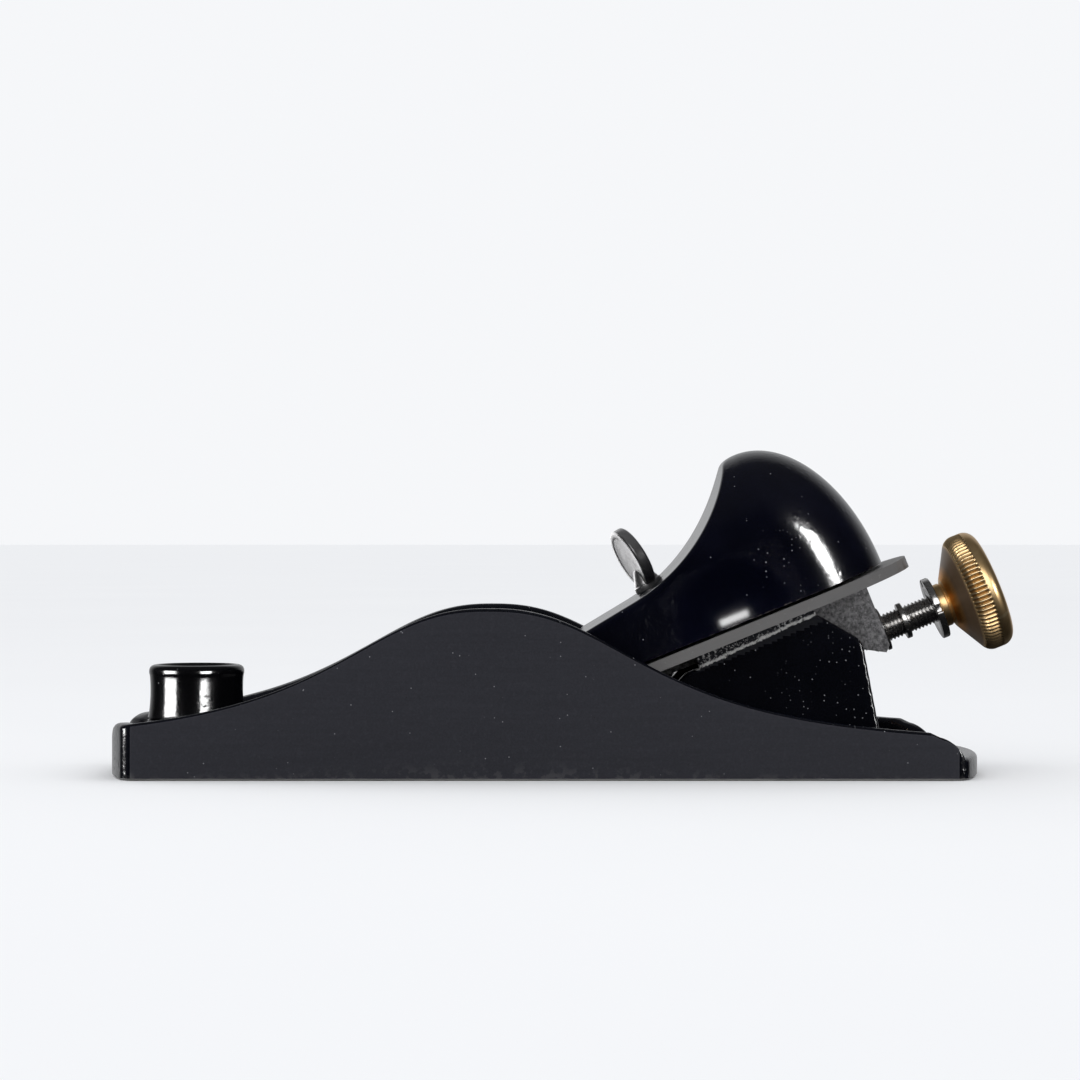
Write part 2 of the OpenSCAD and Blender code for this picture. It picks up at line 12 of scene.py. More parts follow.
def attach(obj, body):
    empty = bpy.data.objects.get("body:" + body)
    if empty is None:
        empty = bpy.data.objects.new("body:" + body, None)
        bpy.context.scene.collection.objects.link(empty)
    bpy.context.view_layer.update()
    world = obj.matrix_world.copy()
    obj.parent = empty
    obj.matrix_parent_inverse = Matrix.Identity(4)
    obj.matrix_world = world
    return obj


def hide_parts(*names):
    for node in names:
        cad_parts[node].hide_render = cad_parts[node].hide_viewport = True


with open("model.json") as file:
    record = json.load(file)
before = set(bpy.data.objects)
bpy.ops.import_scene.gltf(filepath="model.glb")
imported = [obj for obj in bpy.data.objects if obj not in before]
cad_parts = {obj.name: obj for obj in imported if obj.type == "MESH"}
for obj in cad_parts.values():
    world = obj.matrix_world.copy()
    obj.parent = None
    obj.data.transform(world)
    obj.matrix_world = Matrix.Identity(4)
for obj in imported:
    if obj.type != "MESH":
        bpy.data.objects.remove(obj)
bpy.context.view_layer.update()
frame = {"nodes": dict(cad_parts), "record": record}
NODES = frame["nodes"]
BODY_OF = {node: body for body, nodes in frame["record"]["behaviour"]["bodies"].items() for node in nodes}

MM = 0.001
SCENE = bpy.context.scene

# ---- sizes that the looks share with the part ----

SOLE_L, BODY_W, CHEEK_T, FLOOR_T = 180.0, 51.0, 3.5, 4.5
BED = math.radians(22)
MOUTH_X, MOUTH_GAP = -30.4, 4.6
SEAT = 0.03  # clearance between the cutter and what it lies on
EYE_DROP = 2.4  # how far the pivot boss lies below the bed
LAND_U0, LAND_U1 = 66.0, 91.5  # where the pads that carry the cutter start and end, up the bed
CHANNEL_W, POST_W = 20.2, 30.8
THREAD_PITCH, TAP_R = 0.8, 2.56
SPINDLE_R, SPINDLE_DROP = 3.0, 10.3
CAP_W, CAP_WALL, SKIRT_W, LIP_U = 40.8, 3.0, 3.0, 15.5
DOME_H, DOME_U, DOME_L, DOME_ROUND = 35.2, 90.0, 20.0, 18.5
CAP_SLOPE, CAP_SCREW_U, CAP_TRAVEL, CLAMP_U = math.radians(9.1), 34.0, 8.0, 63.2
BACK_U, BACK_H = 50.8, 13.8  # a point that the cap's straight back passes through
SCOOP_U, SCOOP_R, SCOOP_SWEEP = 58.0, 40.6, math.radians(49.5)
KNOB_FRONT, KNOB_BACK, KNOB_R, KNOB_RIM, HUB_R = 123.0, 130.0, 12.6, 2.6, 5.2
CONE = math.radians(60)  # half angle of the knob's front
REST_X, REST_SEAT = 17.1 - SOLE_L / 2, 11.15
SKIRT_SPOT = (38.6, -20.4, 32.7)  # the smooth place low on the cap's near side


def cap_back(u):
    """Height over the bed of the cap's straight back."""
    return BACK_H + (u - BACK_U) * math.tan(CAP_SLOPE)


# The bed's own axes: X up the bed from the mouth, Z square to it
ON_BED = Matrix.Translation((MOUTH_X, 0, 0)) @ Matrix.Rotation(-BED, 4, "Y")
ON_SPINDLE = ON_BED @ Matrix.Translation((0, 0, -SPINDLE_DROP)) @ Matrix.Rotation(math.radians(90), 4, "Y")
ON_CLAMP = ON_BED @ Matrix.Translation((CLAMP_U, 0, cap_back(CLAMP_U))) @ Matrix.Rotation(-CAP_SLOPE, 4, "Y")
REST_AXIS = Matrix.Translation((REST_X, 0, 0))
UPRIGHT = Matrix.Identity(4)


def bed_x(u, w):
    return MOUTH_X + u * math.cos(BED) - w * math.sin(BED)


def bed_z(u, w):
    return u * math.sin(BED) + w * math.cos(BED)


def bed_pt(u, w):
    return (bed_x(u, w), bed_z(u, w))


# ---- node trees ----


def plug(tree, socket, value):
    """Links a socket to another, or sets its own value."""
    value = value.socket if isinstance(value, Value) else value
    if isinstance(value, bpy.types.NodeSocket):
        tree.links.new(value, socket)
    elif isinstance(value, tuple) and len(value) == 3 and socket.type == "RGBA":
        socket.default_value = (*value, 1.0)
    else:
        socket.default_value = value


def add_node(tree, kind, settings=None, sockets=None):
    """Any node: its settings are set first, then the values or links of its sockets."""
    node = tree.nodes.new(kind)
    for name, value in (settings or {}).items():
        setattr(node, name, value)
    for key, value in (sockets or {}).items():
        plug(tree, node.inputs[key], value)
    return node


def scaled(colour, factor):
    """A colour made lighter or darker."""
    return tuple(min(1.0, c * factor) for c in colour)


class Nodes:
    """A node tree being built."""

    def __init__(self, tree):
        self.tree = tree

    def node(self, kind, settings=None, sockets=None):
        return add_node(self.tree, "ShaderNode" + kind, settings, sockets)

    def maths(self, operation, *args):
        return Value(self, self.node("Math", {"operation": operation}, dict(enumerate(args))).outputs[0])

    def axes(self, vector):
        return [Value(self, out) for out in self.node("SeparateXYZ", None, {0: vector}).outputs]


class Value:
    """One number in a node tree. Python's operators add the Math nodes."""

    def __init__(self, nodes, socket):
        self.nodes, self.socket = nodes, socket

    def __add__(self, other):
        return self.nodes.maths("ADD", self, other)

    def __sub__(self, other):
        return self.nodes.maths("SUBTRACT", self, other)

    def __rsub__(self, other):
        return self.nodes.maths("SUBTRACT", other, self)

    def __mul__(self, other):
        return self.nodes.maths("MULTIPLY", self, other)

    def __truediv__(self, other):
        return self.nodes.maths("DIVIDE", self, other)

    def __pow__(self, other):
        return self.nodes.maths("POWER", self, other)

    __radd__, __rmul__ = __add__, __mul__

    def max(self, other):
        return self.nodes.maths("MAXIMUM", self, other)

    def step(self, low, high, bottom=0.0, top=1.0):
        """Bottom before low, top after high and a smooth change between them."""
        sockets = {"Value": self, "From Min": low, "From Max": high, "To Min": bottom, "To Max": top}
        node = self.nodes.node("MapRange", {"interpolation_type": "SMOOTHSTEP"}, sockets)
        return Value(self.nodes, node.outputs[0])


class Finish(Nodes):
    """A material being built from nodes, on the piece's own coordinates in millimetres."""

    def __init__(self, name):
        self.material = bpy.data.materials.new(name)
        self.material.use_nodes = True
        super().__init__(self.material.node_tree)
        self.tree.nodes.clear()
        where = self.node("TexCoord").outputs["Object"]
        self.place = self.node("VectorMath", {"operation": "SCALE"}, {0: where, "Scale": 1 / MM}).outputs[0]

    def stretched(self, scale, vector=None):
        sockets = {0: vector or self.place, 1: scale}
        return self.node("VectorMath", {"operation": "MULTIPLY"}, sockets).outputs[0]

    def turned(self, matrix, scale=(1, 1, 1)):
        """Coordinates in another set of axes of the object, stretched by scale."""
        back = matrix.inverted()
        sockets = {"Vector": self.place}
        sockets["Location"], sockets["Rotation"] = tuple(back.to_translation()), tuple(back.to_euler())
        return self.stretched(scale, self.node("Mapping", {"vector_type": "POINT"}, sockets).outputs[0])

    def noise(self, scale, detail=3.0, roughness=0.55, vector=None):
        sockets = {"Vector": vector or self.place, "Scale": scale, "Detail": detail, "Roughness": roughness}
        return Value(self, self.node("TexNoise", None, sockets).outputs["Fac"])

    def cells(self, scale):
        """The distance to the nearest of many scattered points, and a random colour for each point."""
        node = self.node("TexVoronoi", {"feature": "F1"}, {"Vector": self.place, "Scale": scale})
        return Value(self, node.outputs["Distance"]), node.outputs["Color"]

    def distance(self, spot):
        node = self.node("VectorMath", {"operation": "DISTANCE"}, {0: self.place, 1: spot})
        return Value(self, node.outputs["Value"])

    def edges(self, low, high):
        """0 on flat faces and 1 on edges that stand out, with low and high about its middle value of 0.5."""
        return Value(self, self.node("NewGeometry").outputs["Pointiness"]).step(low, high)

    def mix(self, factor, a, b):
        """A colour between a and b."""
        return self.node("Mix", {"data_type": "RGBA"}, {0: factor, 6: a, 7: b}).outputs[2]

    def bump(self, height, depth, strength=0.6):
        """Relief of a height from 0 to 1, its full depth in millimetres."""
        sockets = {"Height": height, "Distance": depth * MM, "Strength": strength}
        return self.node("Bump", None, sockets).outputs[0]

    def surface(self, **sockets):
        """The shader, with its sockets named in lower case with underscores."""
        shader = self.node("BsdfPrincipled")
        for name, value in sockets.items():
            plug(self.tree, shader.inputs[name.replace("_", " ").title().replace("Ior", "IOR")], value)
        self.node("OutputMaterial", None, {0: shader.outputs[0]})
        return self.material


# ---- finishes ----


def pimples(f, scale):
    """Small raised grains of a sprayed enamel over a cast skin."""
    lumps = f.noise(scale, 2.0, 0.5)
    fine = f.noise(scale * 2.7, 2.0, 0.6)
    near, _ = f.cells(scale * 1.3)
    patches = f.noise(scale * 0.2, 1.0).step(0.45, 0.7)
    return lumps * 0.62 + fine * 0.2 + (1 - near.step(0.05, 0.45)) * patches * 0.5


def specks(f, scale, size, cover):
    """Tiny scattered specks, some brighter than others; cover is the share of cells that hold one."""
    near, colour = f.cells(scale)
    pick, shade, _ = f.axes(colour)
    held = pick.step(1 - cover, 1 - cover + 0.02)
    return (1 - near.step(size * 0.4, size)) * held * (shade * 0.75 + 0.25)


def gloss_enamel(name, base, dust_and_glints, share=0.25, scale=0.5, rough=0.1, depth=0.06, spots=(), rubbed=None):
    """Gloss black enamel over a sand casting: pimply, with bright specks of painted glint, more at the given
    spots.

    Round the place given as rubbed, handling has smoothed the enamel to a mirror.
    """
    worn_grey = (0.16, 0.15, 0.14)
    thin = tuple(c * 1.7 + 0.0006 for c in base)
    f = Finish(name)
    cloud = f.noise(0.06, 3.0)
    # painted glints: bright specks that stand in for the pimples catching the light, grain being their mask
    grain = specks(f, 0.95, 0.17, share) * f.noise(0.09, 2.0).step(0.36, 0.56)
    for spot, reach in spots:
        near = 1 - f.distance(spot).step(reach * 0.35, reach)
        grain = grain.max(specks(f, 1.15, 0.21, 0.42) * near)
    worn = f.edges(0.54, 0.6) * f.noise(0.8, 3.0).step(0.52, 0.62)
    colour = f.mix(cloud.step(0.35, 0.75), base, thin)
    # the painted glints go into the colour here
    colour = f.mix(grain * 0.8, colour, dust_and_glints)
    colour = f.mix(worn * 0.5, colour, worn_grey)
    roughness = rough + cloud * 0.1 + grain * 0.2 + worn * 0.2
    height = pimples(f, scale)
    if rubbed:
        mean_height, rubbed_to, whole_from, polish = 0.42, 9.0, 15.0, 0.2
        whole = f.distance(rubbed).step(rubbed_to, whole_from)
        roughness = roughness * (whole * (1 - polish) + polish)
        height = (height - mean_height) * whole
    relief = f.bump(height, depth, 0.7)
    return f.surface(base_color=colour, roughness=roughness, specular_ior_level=0.5, normal=relief)


def cheek_enamel():
    """The flat sides: the same enamel ground dull, with fine rubs along the length and pale specks."""
    low, high, patch = (0.0165, 0.017, 0.0245), (0.029, 0.0295, 0.0405), (0.043, 0.043, 0.055)
    dust_grey, pit_black, worn_grey = (0.3, 0.3, 0.32), (0.01, 0.01, 0.012), (0.2, 0.19, 0.18)
    f = Finish("cheek_enamel")
    rubs = f.noise(1.0, 4.0, 0.65, f.stretched((0.06, 1.0, 2.2)))
    cloud = f.noise(0.035, 4.0, 0.6)
    mottle = f.noise(0.9, 3.0, 0.6)
    fine = f.noise(2.2, 3.0, 0.6)
    dust_and_glints, pits = specks(f, 0.6, 0.1, 0.4), specks(f, 0.9, 0.16, 0.1)
    worn = f.edges(0.53, 0.58) * f.noise(0.6, 3.0).step(0.5, 0.6)
    colour = f.mix(rubs.step(0.2, 0.85) * 0.3 + fine.step(0.3, 0.7) * 0.35 + cloud * 0.35, low, high)
    colour = f.mix(mottle.step(0.5, 0.8) * 0.3, colour, patch)
    colour = f.mix(dust_and_glints * 0.8, colour, dust_grey)
    colour = f.mix(pits * 0.6, colour, pit_black)
    colour = f.mix(worn * 0.6, colour, worn_grey)
    roughness = 0.62 + rubs * 0.14 - cloud * 0.1
    relief = f.bump(rubs * 0.25 + mottle * 0.5 + fine * 0.25 - pits, 0.05)
    return f.surface(base_color=colour, roughness=roughness, specular_ior_level=0.35, normal=relief)


def ground_iron(name, along, base=(0.42, 0.41, 0.4)):
    """Iron ground bright: fine scratches along one axis, a few deep ones and grey stains."""
    dark, low, high = scaled(base, 0.45), scaled(base, 0.75), scaled(base, 1.25)
    f = Finish(name)
    grind = f.stretched(tuple(0.05 if k == along else 3.2 for k in range(3)))
    lines = f.noise(1.0, 5.0, 0.7, grind)
    deep = f.noise(0.35, 2.0, 0.5, grind).step(0.62, 0.68)
    stain = f.noise(0.05, 4.0, 0.6)
    colour = f.mix(lines.step(0.25, 0.8), low, high)
    colour = f.mix(stain.step(0.5, 0.75) * 0.6, colour, dark)
    colour = f.mix(deep * 0.5, colour, dark)
    roughness = 0.26 + lines * 0.2 + stain * 0.12
    relief = f.bump(lines - deep * 0.6, 0.03)
    return f.surface(base_color=colour, metallic=0.5, roughness=roughness, normal=relief)


def filed_pad():
    """Edge of the bed pads: mottled iron, with a bright ragged line where the enamel starts."""
    enamel, iron_low, iron_high = (0.014, 0.0145, 0.018), (0.42, 0.41, 0.4), (0.85, 0.84, 0.82)
    line_drop, line_rise = 2.6, 0.049
    f = Finish("filed_pad")
    u, _, w = f.axes(f.turned(ON_BED))
    wander = (f.noise(0.5, 3.0, 0.6) - 0.5) * 0.9 + (f.noise(2.4, 3.0, 0.7) - 0.5) * 0.8
    rise = w + line_drop - (u - LAND_U0) * line_rise + wander
    line = rise.step(-0.25, -0.05) * (1 - rise.step(0.3, 0.6)) * f.noise(1.1, 3.0, 0.7).step(0.3, 0.46)
    mottle = f.noise(1.5, 4.0, 0.75).step(0.53, 0.62) * rise.step(0.2, 0.5)
    bright = line.max(mottle * 0.75)
    colour = f.mix(bright, enamel, f.mix(f.noise(2.5, 3.0, 0.6), iron_low, iron_high))
    metal, roughness, relief = bright * 0.25, 0.2 + bright * 0.25, f.bump(bright, 0.25, 0.8)
    return f.surface(base_color=colour, metallic=metal, roughness=roughness, normal=relief)


def plated(name, base, rough, mottle=0.3, depth=0.02):
    """Plated or bright metal: a soft mottle, fine random scratches and a darker bloom."""
    dark, bright = scaled(base, 1 - mottle), scaled(base, 1.35)
    f = Finish(name)
    cloud = f.noise(0.35, 4.0, 0.6)
    small = f.noise(1.6, 3.0, 0.6)
    slant = f.turned(Matrix.Rotation(0.7, 4, "X"), (0.25, 3.0, 1.2))
    scratch = f.noise(1.3, 4.0, 0.7, slant)
    colour = f.mix(cloud.step(0.35, 0.7), base, dark)
    colour = f.mix(small.step(0.58, 0.72) * 0.5, colour, dark)
    colour = f.mix(f.edges(0.53, 0.6) * 0.35, colour, bright)
    roughness = rough + cloud * 0.12 + scratch.step(0.5, 0.7) * 0.1
    relief = f.bump(small * 0.6 + scratch * 0.4, depth, 0.7)
    return f.surface(base_color=colour, metallic=1.0, roughness=roughness, normal=relief)


def blade_steel():
    """Cutter: rolled steel with a satin grain up its length and a few tool marks."""
    low, high, dull = (0.062, 0.058, 0.06), (0.1, 0.094, 0.097), (0.06, 0.057, 0.058)
    mark_grey, rim_grey = (0.42, 0.41, 0.4), (0.5, 0.49, 0.48)
    f = Finish("blade_steel")
    grain = f.noise(1.0, 4.0, 0.65, f.turned(ON_BED, (0.12, 2.6, 2.6)))
    cloud = f.noise(0.08, 4.0, 0.6)
    marks = f.noise(0.9, 3.0, 0.6)
    colour = f.mix(grain.step(0.25, 0.75), low, high)
    colour = f.mix(cloud.step(0.45, 0.75) * 0.45, colour, dull)
    colour = f.mix(marks.step(0.64, 0.72) * 0.5, colour, mark_grey)
    colour = f.mix(f.edges(0.53, 0.58) * 0.5, colour, rim_grey)
    roughness = 0.42 + grain * 0.14 + cloud * 0.1
    return f.surface(base_color=colour, metallic=0.6, roughness=roughness, normal=f.bump(grain, 0.03))


def zinc_sheet():
    """Carrier: dull plated sheet steel, speckled and darkened in patches."""
    low, high = (0.1, 0.098, 0.102), (0.46, 0.45, 0.455)
    patch, dot_white = (0.13, 0.125, 0.125), (0.8, 0.8, 0.8)
    f = Finish("zinc_sheet")
    grey = f.noise(1.4, 4.0, 0.75)
    cloud = f.noise(0.25, 3.0, 0.6)
    colour = f.mix(grey.step(0.3, 0.72), low, high)
    colour = f.mix(cloud.step(0.45, 0.7) * 0.4, colour, patch)
    colour = f.mix(specks(f, 1.5, 0.26, 0.35) * 0.8, colour, dot_white)
    relief = f.bump(grey, 0.06, 0.8)
    return f.surface(base_color=colour, metallic=0.5, roughness=0.42 + grey * 0.2, normal=relief)


def knob_brass():
    """Turned brass: painted shade in the hollows of the ridges, painted highlights on their tops, and a
    painted reflection on the front cone, an orange glow by the hub that goes dark outwards.
    """
    low, high = (0.66, 0.43, 0.19), (0.82, 0.57, 0.29)
    ridge_top_highlight, ridge_hollow_shade = (1.0, 0.8, 0.5), (0.13, 0.06, 0.016)
    cone_glow, cone_dark_reflection = (0.75, 0.32, 0.05), (0.07, 0.042, 0.03)
    f = Finish("knob_brass")
    x, y, z = f.axes(f.turned(ON_SPINDLE))
    reach = (x * x + y * y) ** 0.5
    turning = f.node("CombineXYZ", None, {0: reach * 3.0, 1: z * 3.0}).outputs[0]
    rings = f.noise(1.0, 2.0, 0.5, turning)
    cloud = f.noise(0.16, 4.0, 0.6)
    tops, hollow = f.edges(0.49, 0.56), 1 - f.edges(0.42, 0.5)
    rim = reach.step(KNOB_R - 1.7, KNOB_R - 1.0)
    cone = (1 - z.step(KNOB_FRONT, KNOB_FRONT + 0.7)) * reach.step(HUB_R - 0.1, HUB_R + 0.3)
    colour = f.mix(cloud.step(0.3, 0.75), low, high)
    # painted highlight on the ridge tops, then painted shade in the ridge hollows
    colour = f.mix(tops * rim * 0.65, colour, ridge_top_highlight)
    colour = f.mix(hollow * rim * 0.85, colour, ridge_hollow_shade)
    # painted reflection on the front cone: an orange glow by the hub, dark further out
    colour = f.mix(cone * 0.9, colour, f.mix(reach.step(5.4, 8.4), cone_glow, cone_dark_reflection))
    roughness = 0.24 + cloud * 0.12 + rings * 0.06 + hollow * 0.2
    # the outer cone is made less metallic so that its painted dark reflection shows
    metal = 1 - cone * reach.step(6.0, 9.0) * 0.6
    return f.surface(base_color=colour, metallic=metal, roughness=roughness, normal=f.bump(rings, 0.02, 0.5))


# The spots are where painted glints gather: on the post, and beside the highlight on the cap's dome.
ENAMEL = gloss_enamel(
    "body_enamel", (0.0012, 0.0015, 0.0035), (0.62, 0.63, 0.66), share=0.1, scale=0.55, rough=0.13,
    depth=0.16, spots=[((62, -15, 16), 18.0)],
)
CAP_ENAMEL = gloss_enamel(
    "cap_enamel", (0.0007, 0.0009, 0.0036), (0.5, 0.51, 0.56), share=0.05, scale=0.45, rough=0.09, depth=0.07,
    spots=[((47.0, -18, 44.5), 7.5), ((53.0, -18, 38.5), 4.0)], rubbed=SKIRT_SPOT,
)
REST_BLACK = gloss_enamel("rest_black", (0.0015, 0.0015, 0.0022), (0.4, 0.4, 0.42))
CHEEK = cheek_enamel()
SOLE_IRON = ground_iron("sole_iron", 0)
BED_IRON = ground_iron("bed_iron", 1, (0.55, 0.54, 0.53))
PAD_EDGE = filed_pad()
BLADE = blade_steel()
ZINC = zinc_sheet()
NICKEL = plated("bright_nickel", (0.62, 0.61, 0.6), 0.14)
DULL_NICKEL = plated("dull_nickel", (0.58, 0.575, 0.58), 0.3, 0.2, 0.03)
SPRING = plated("spring_steel", (0.16, 0.155, 0.15), 0.34, 0.4, 0.03)
BRASS = knob_brass()
PAD_BRASS = plated("pad_brass", (0.62, 0.4, 0.15), 0.26, 0.4, 0.03)


# ---- making meshes ----


def arc(centre, radius, start, end, steps):
    """Points on an arc, between two angles in degrees."""
    angles = np.radians(np.linspace(start, end, steps))
    return [(centre[0] + radius * math.cos(a), centre[1] + radius * math.sin(a)) for a in angles]


def new_object(name, mesh):
    made = bpy.data.objects.new(name, mesh)
    SCENE.collection.objects.link(made)
    return made


def clean(mesh, merge, thin):
    """Merges points closer than merge, drops edges shorter than thin, and turns the faces outwards."""
    work = bmesh.new()
    work.from_mesh(mesh)
    bmesh.ops.remove_doubles(work, verts=work.verts, dist=merge)
    bmesh.ops.dissolve_degenerate(work, edges=work.edges, dist=thin)
    bmesh.ops.recalc_face_normals(work, faces=work.faces)
    work.to_mesh(mesh)
    work.free()


def skin(name, verts, count):
    """A closed solid in millimetres through rings of count matching points each, capped at both ends."""
    faces = []
    for start in range(0, len(verts) - count, count):
        for j in range(count):
            k = (j + 1) % count
            faces.append((start + j, start + k, start + count + k, start + count + j))
    faces += [tuple(range(count)), tuple(range(len(verts) - count, len(verts)))]
    mesh = bpy.data.meshes.new(name)
    mesh.from_pydata([tuple(map(float, v)) for v in verts], [], faces)
    clean(mesh, 1e-5, 1e-6)
    return new_object(name, mesh)


def settle(made):
    """Bakes an object's modifiers into a plain mesh and takes them off."""
    bpy.context.view_layer.update()
    depsgraph = bpy.context.evaluated_depsgraph_get()
    mesh = bpy.data.meshes.new_from_object(made.evaluated_get(depsgraph), depsgraph=depsgraph)
    made.modifiers.clear()
    old = made.data
    made.data = mesh
    bpy.data.meshes.remove(old)
    return made


def combine(target, tool, operation):
    """Joins a solid to another, cuts it away or keeps what both share, and removes the tool."""
    step = target.modifiers.new("step", "BOOLEAN")
    step.operation, step.object, step.solver = operation, tool, "MANIFOLD"
    settle(target)
    bpy.data.objects.remove(tool)
    return target


def join(target, *tools):
    for tool in tools:
        combine(target, tool, "UNION")
    return target


def cut(target, *tools):
    for tool in tools:
        combine(target, tool, "DIFFERENCE")
    return target


def prism(name, outline, half_width, matrix=UPRIGHT, bevel=0.0):
    """A side view in X and Z, drawn across the width, its side edges taken down by bevel."""
    centre, inner = np.mean(outline, axis=0), half_width - bevel
    rings = []
    for y, shrink in ((-half_width, bevel), (-inner, 0), (inner, 0), (half_width, bevel)):
        for p in outline:
            away = np.array(p) - centre
            x, z = centre + away * (1 - shrink / max(np.linalg.norm(away), 1e-6))
            rings.append(matrix @ Vector((x, y, z)))
    return skin(name, rings, len(outline))


def column(name, radii, matrix, steps=48):
    """A turned solid on the Z axis from (radius, height) pairs, closed at both ends."""
    angles = np.linspace(0, 2 * math.pi, steps, endpoint=False)
    verts = [matrix @ Vector((r * math.cos(a), r * math.sin(a), z)) for r, z in radii for a in angles]
    return skin(name, verts, steps)


def slot_block(name, x0, x1, radius, z0, z1, matrix, steps=32):
    """A block with round ends along X."""
    rings = []
    for z in (z0, z1):
        for x, start in ((x1, -math.pi / 2), (x0, math.pi / 2)):
            for a in np.linspace(start, start + math.pi, steps):
                rings.append(matrix @ Vector((x + radius * math.cos(a), radius * math.sin(a), z)))
    return skin(name, rings, 2 * steps)


def finish_piece(made, node, materials, choose=None, angle=35):
    """Takes a mesh from millimetres to metres, gives it its finishes, and fixes it to its CAD body."""
    made.data.transform(Matrix.Scale(MM, 4))
    made.data.materials.clear()
    for material in materials:
        made.data.materials.append(material)
    for face in made.data.polygons:
        face.material_index = choose(face.center / MM, face.normal) if choose else 0
    made.data.shade_smooth()
    made.data.set_sharp_from_angle(angle=math.radians(angle))
    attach(made, BODY_OF[node])
    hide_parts(node)
    return made


# ---- turned parts, made by one Geometry Nodes tree ----


class Tree(Nodes):
    """A Geometry Nodes tree that takes a mesh and some values, and gives a mesh."""

    def __init__(self, name, kinds):
        super().__init__(bpy.data.node_groups.new(name, "GeometryNodeTree"))
        face = self.tree.interface
        face.new_socket("Geometry", in_out="INPUT", socket_type="NodeSocketGeometry")
        for label, kind in kinds.items():
            face.new_socket(label, in_out="INPUT", socket_type="NodeSocket" + kind)
        face.new_socket("Geometry", in_out="OUTPUT", socket_type="NodeSocketGeometry")
        self.inputs = self.tree.nodes.new("NodeGroupInput").outputs
        self.out = self.tree.nodes.new("NodeGroupOutput")

    def add(self, kind, sockets=None, **settings):
        return add_node(self.tree, "GeometryNode" + kind, settings, sockets).outputs[0]

    def sample(self, field, kind, index):
        """The field's value at one point of the mesh that comes in."""
        node = add_node(self.tree, "GeometryNodeSampleIndex", {"data_type": kind})
        plug(self.tree, node.inputs["Geometry"], self.inputs["Geometry"])
        plug(self.tree, node.inputs["Index"], index)
        plug(self.tree, next(s for s in node.inputs if s.name == "Value" and s.enabled), field)
        return next(s for s in node.outputs if s.enabled)


def turned_tree():
    """Turns a profile about Z, with ridges or a thread where the profile's attributes say so."""
    kinds = {"Profile Points": "Int", "Steps Around": "Int", "Ridges": "Int", "Ridge Height": "Float"}
    kinds |= {"Thread Pitch": "Float", "Thread Depth": "Float", "Finish": "Material"}
    t = Tree("turned_part", kinds)
    numbers = [Value(t, t.inputs[label]) for label, kind in kinds.items() if kind != "Material"]
    points, steps, ridges, ridge_height, pitch, depth = numbers
    index = Value(t, t.add("InputIndex"))
    along = t.maths("FLOORED_MODULO", index, points)
    share = t.maths("FLOOR", (index + 0.25) / points) / steps
    angle = share * (2 * math.pi)

    def attribute(name):
        field = t.add("InputNamedAttribute", {"Name": name}, data_type="FLOAT")
        return Value(t, t.sample(field, "FLOAT", along))

    radius, _, height = t.axes(t.sample(t.add("InputPosition"), "FLOAT_VECTOR", along))
    crest = t.maths("ABSOLUTE", t.maths("COSINE", angle * ridges) * 0.5 + 0.5) ** 0.8
    ridge = (1 - crest) * ridge_height * attribute("ridge")
    wind = t.maths("FRACT", height / pitch - share)
    groove = t.maths("ABSOLUTE", wind * 2.0 - 1.0) * depth * attribute("thread")
    reach = radius - ridge - groove
    x, y = reach * t.maths("COSINE", angle), reach * t.maths("SINE", angle)
    spot = t.node("CombineXYZ", None, {0: x, 1: y, 2: height}).outputs[0]
    grid = t.add("MeshGrid", {"Vertices X": steps + 1, "Vertices Y": points})
    moved = t.add("SetPosition", {"Geometry": grid, "Position": spot})
    merged = t.add("MergeByDistance", {"Geometry": moved, "Distance": 1e-4})
    real = t.add("RealizeInstances", {"Geometry": merged})
    coated = t.add("SetMaterial", {"Geometry": real, "Material": t.inputs["Finish"]})
    plug(t.tree, t.out.inputs[0], coated)
    return t.tree


TURNED = turned_tree()


def turned(name, profile, matrix, finish, steps=48, ridges=1, ridge_height=0.0, pitch=1.0, depth=0.0):
    """A turned part from rows of (radius, height, ridge share, thread share)."""
    rows = [tuple(p) + (0.0,) * (4 - len(p)) for p in profile]
    mesh = bpy.data.meshes.new(name)
    mesh.from_pydata([(r, 0, z) for r, z, _, _ in rows], [(k, k + 1) for k in range(len(rows) - 1)], [])
    for column_at, label in ((2, "ridge"), (3, "thread")):
        layer = mesh.attributes.new(label, "FLOAT", "POINT")
        layer.data.foreach_set("value", [row[column_at] for row in rows])
    made = new_object(name, mesh)
    lathe = made.modifiers.new("lathe", "NODES")
    lathe.node_group = TURNED
    values = {"Profile Points": len(rows), "Steps Around": steps, "Ridges": ridges, "Finish": finish}
    values |= {"Ridge Height": ridge_height, "Thread Pitch": pitch, "Thread Depth": depth}
    for item in TURNED.interface.items_tree:
        if item.in_out == "INPUT" and item.name in values:
            lathe[item.identifier] = values[item.name]
    settle(made)
    made.data.transform(matrix)
    clean(made.data, 1e-4, 1e-5)
    return made


def bend(a, b, c, shares):
    """Points on a smooth curve that leaves a towards b and arrives at c."""
    a, b, c = (np.asarray(p, float) for p in (a, b, c))
    return [tuple((1 - s) ** 2 * a + 2 * s * (1 - s) * b + s * s * c) for s in shares]


def round_corner(a, b, c, radius, steps):
    """Points that take the corner at b, between a and c, on an arc of about the radius."""
    a, b, c = (np.array(p, float) for p in (a, b, c))
    to_a, to_c = a - b, c - b
    reach = min(radius, 0.49 * np.linalg.norm(to_a), 0.49 * np.linalg.norm(to_c))
    start = b + to_a / np.linalg.norm(to_a) * reach
    end = b + to_c / np.linalg.norm(to_c) * reach
    return bend(start, b, end, np.linspace(0, 1, steps))


def eased(points, radius, steps=4):
    """A profile with its inner corners rounded; its two ends stay."""
    out = [points[0]]
    for a, b, c in zip(points, points[1:], points[2:]):
        out += round_corner(a, b, c, radius, steps)
    return out + [points[-1]]


# ---- CAD shapes with their edges eased ----


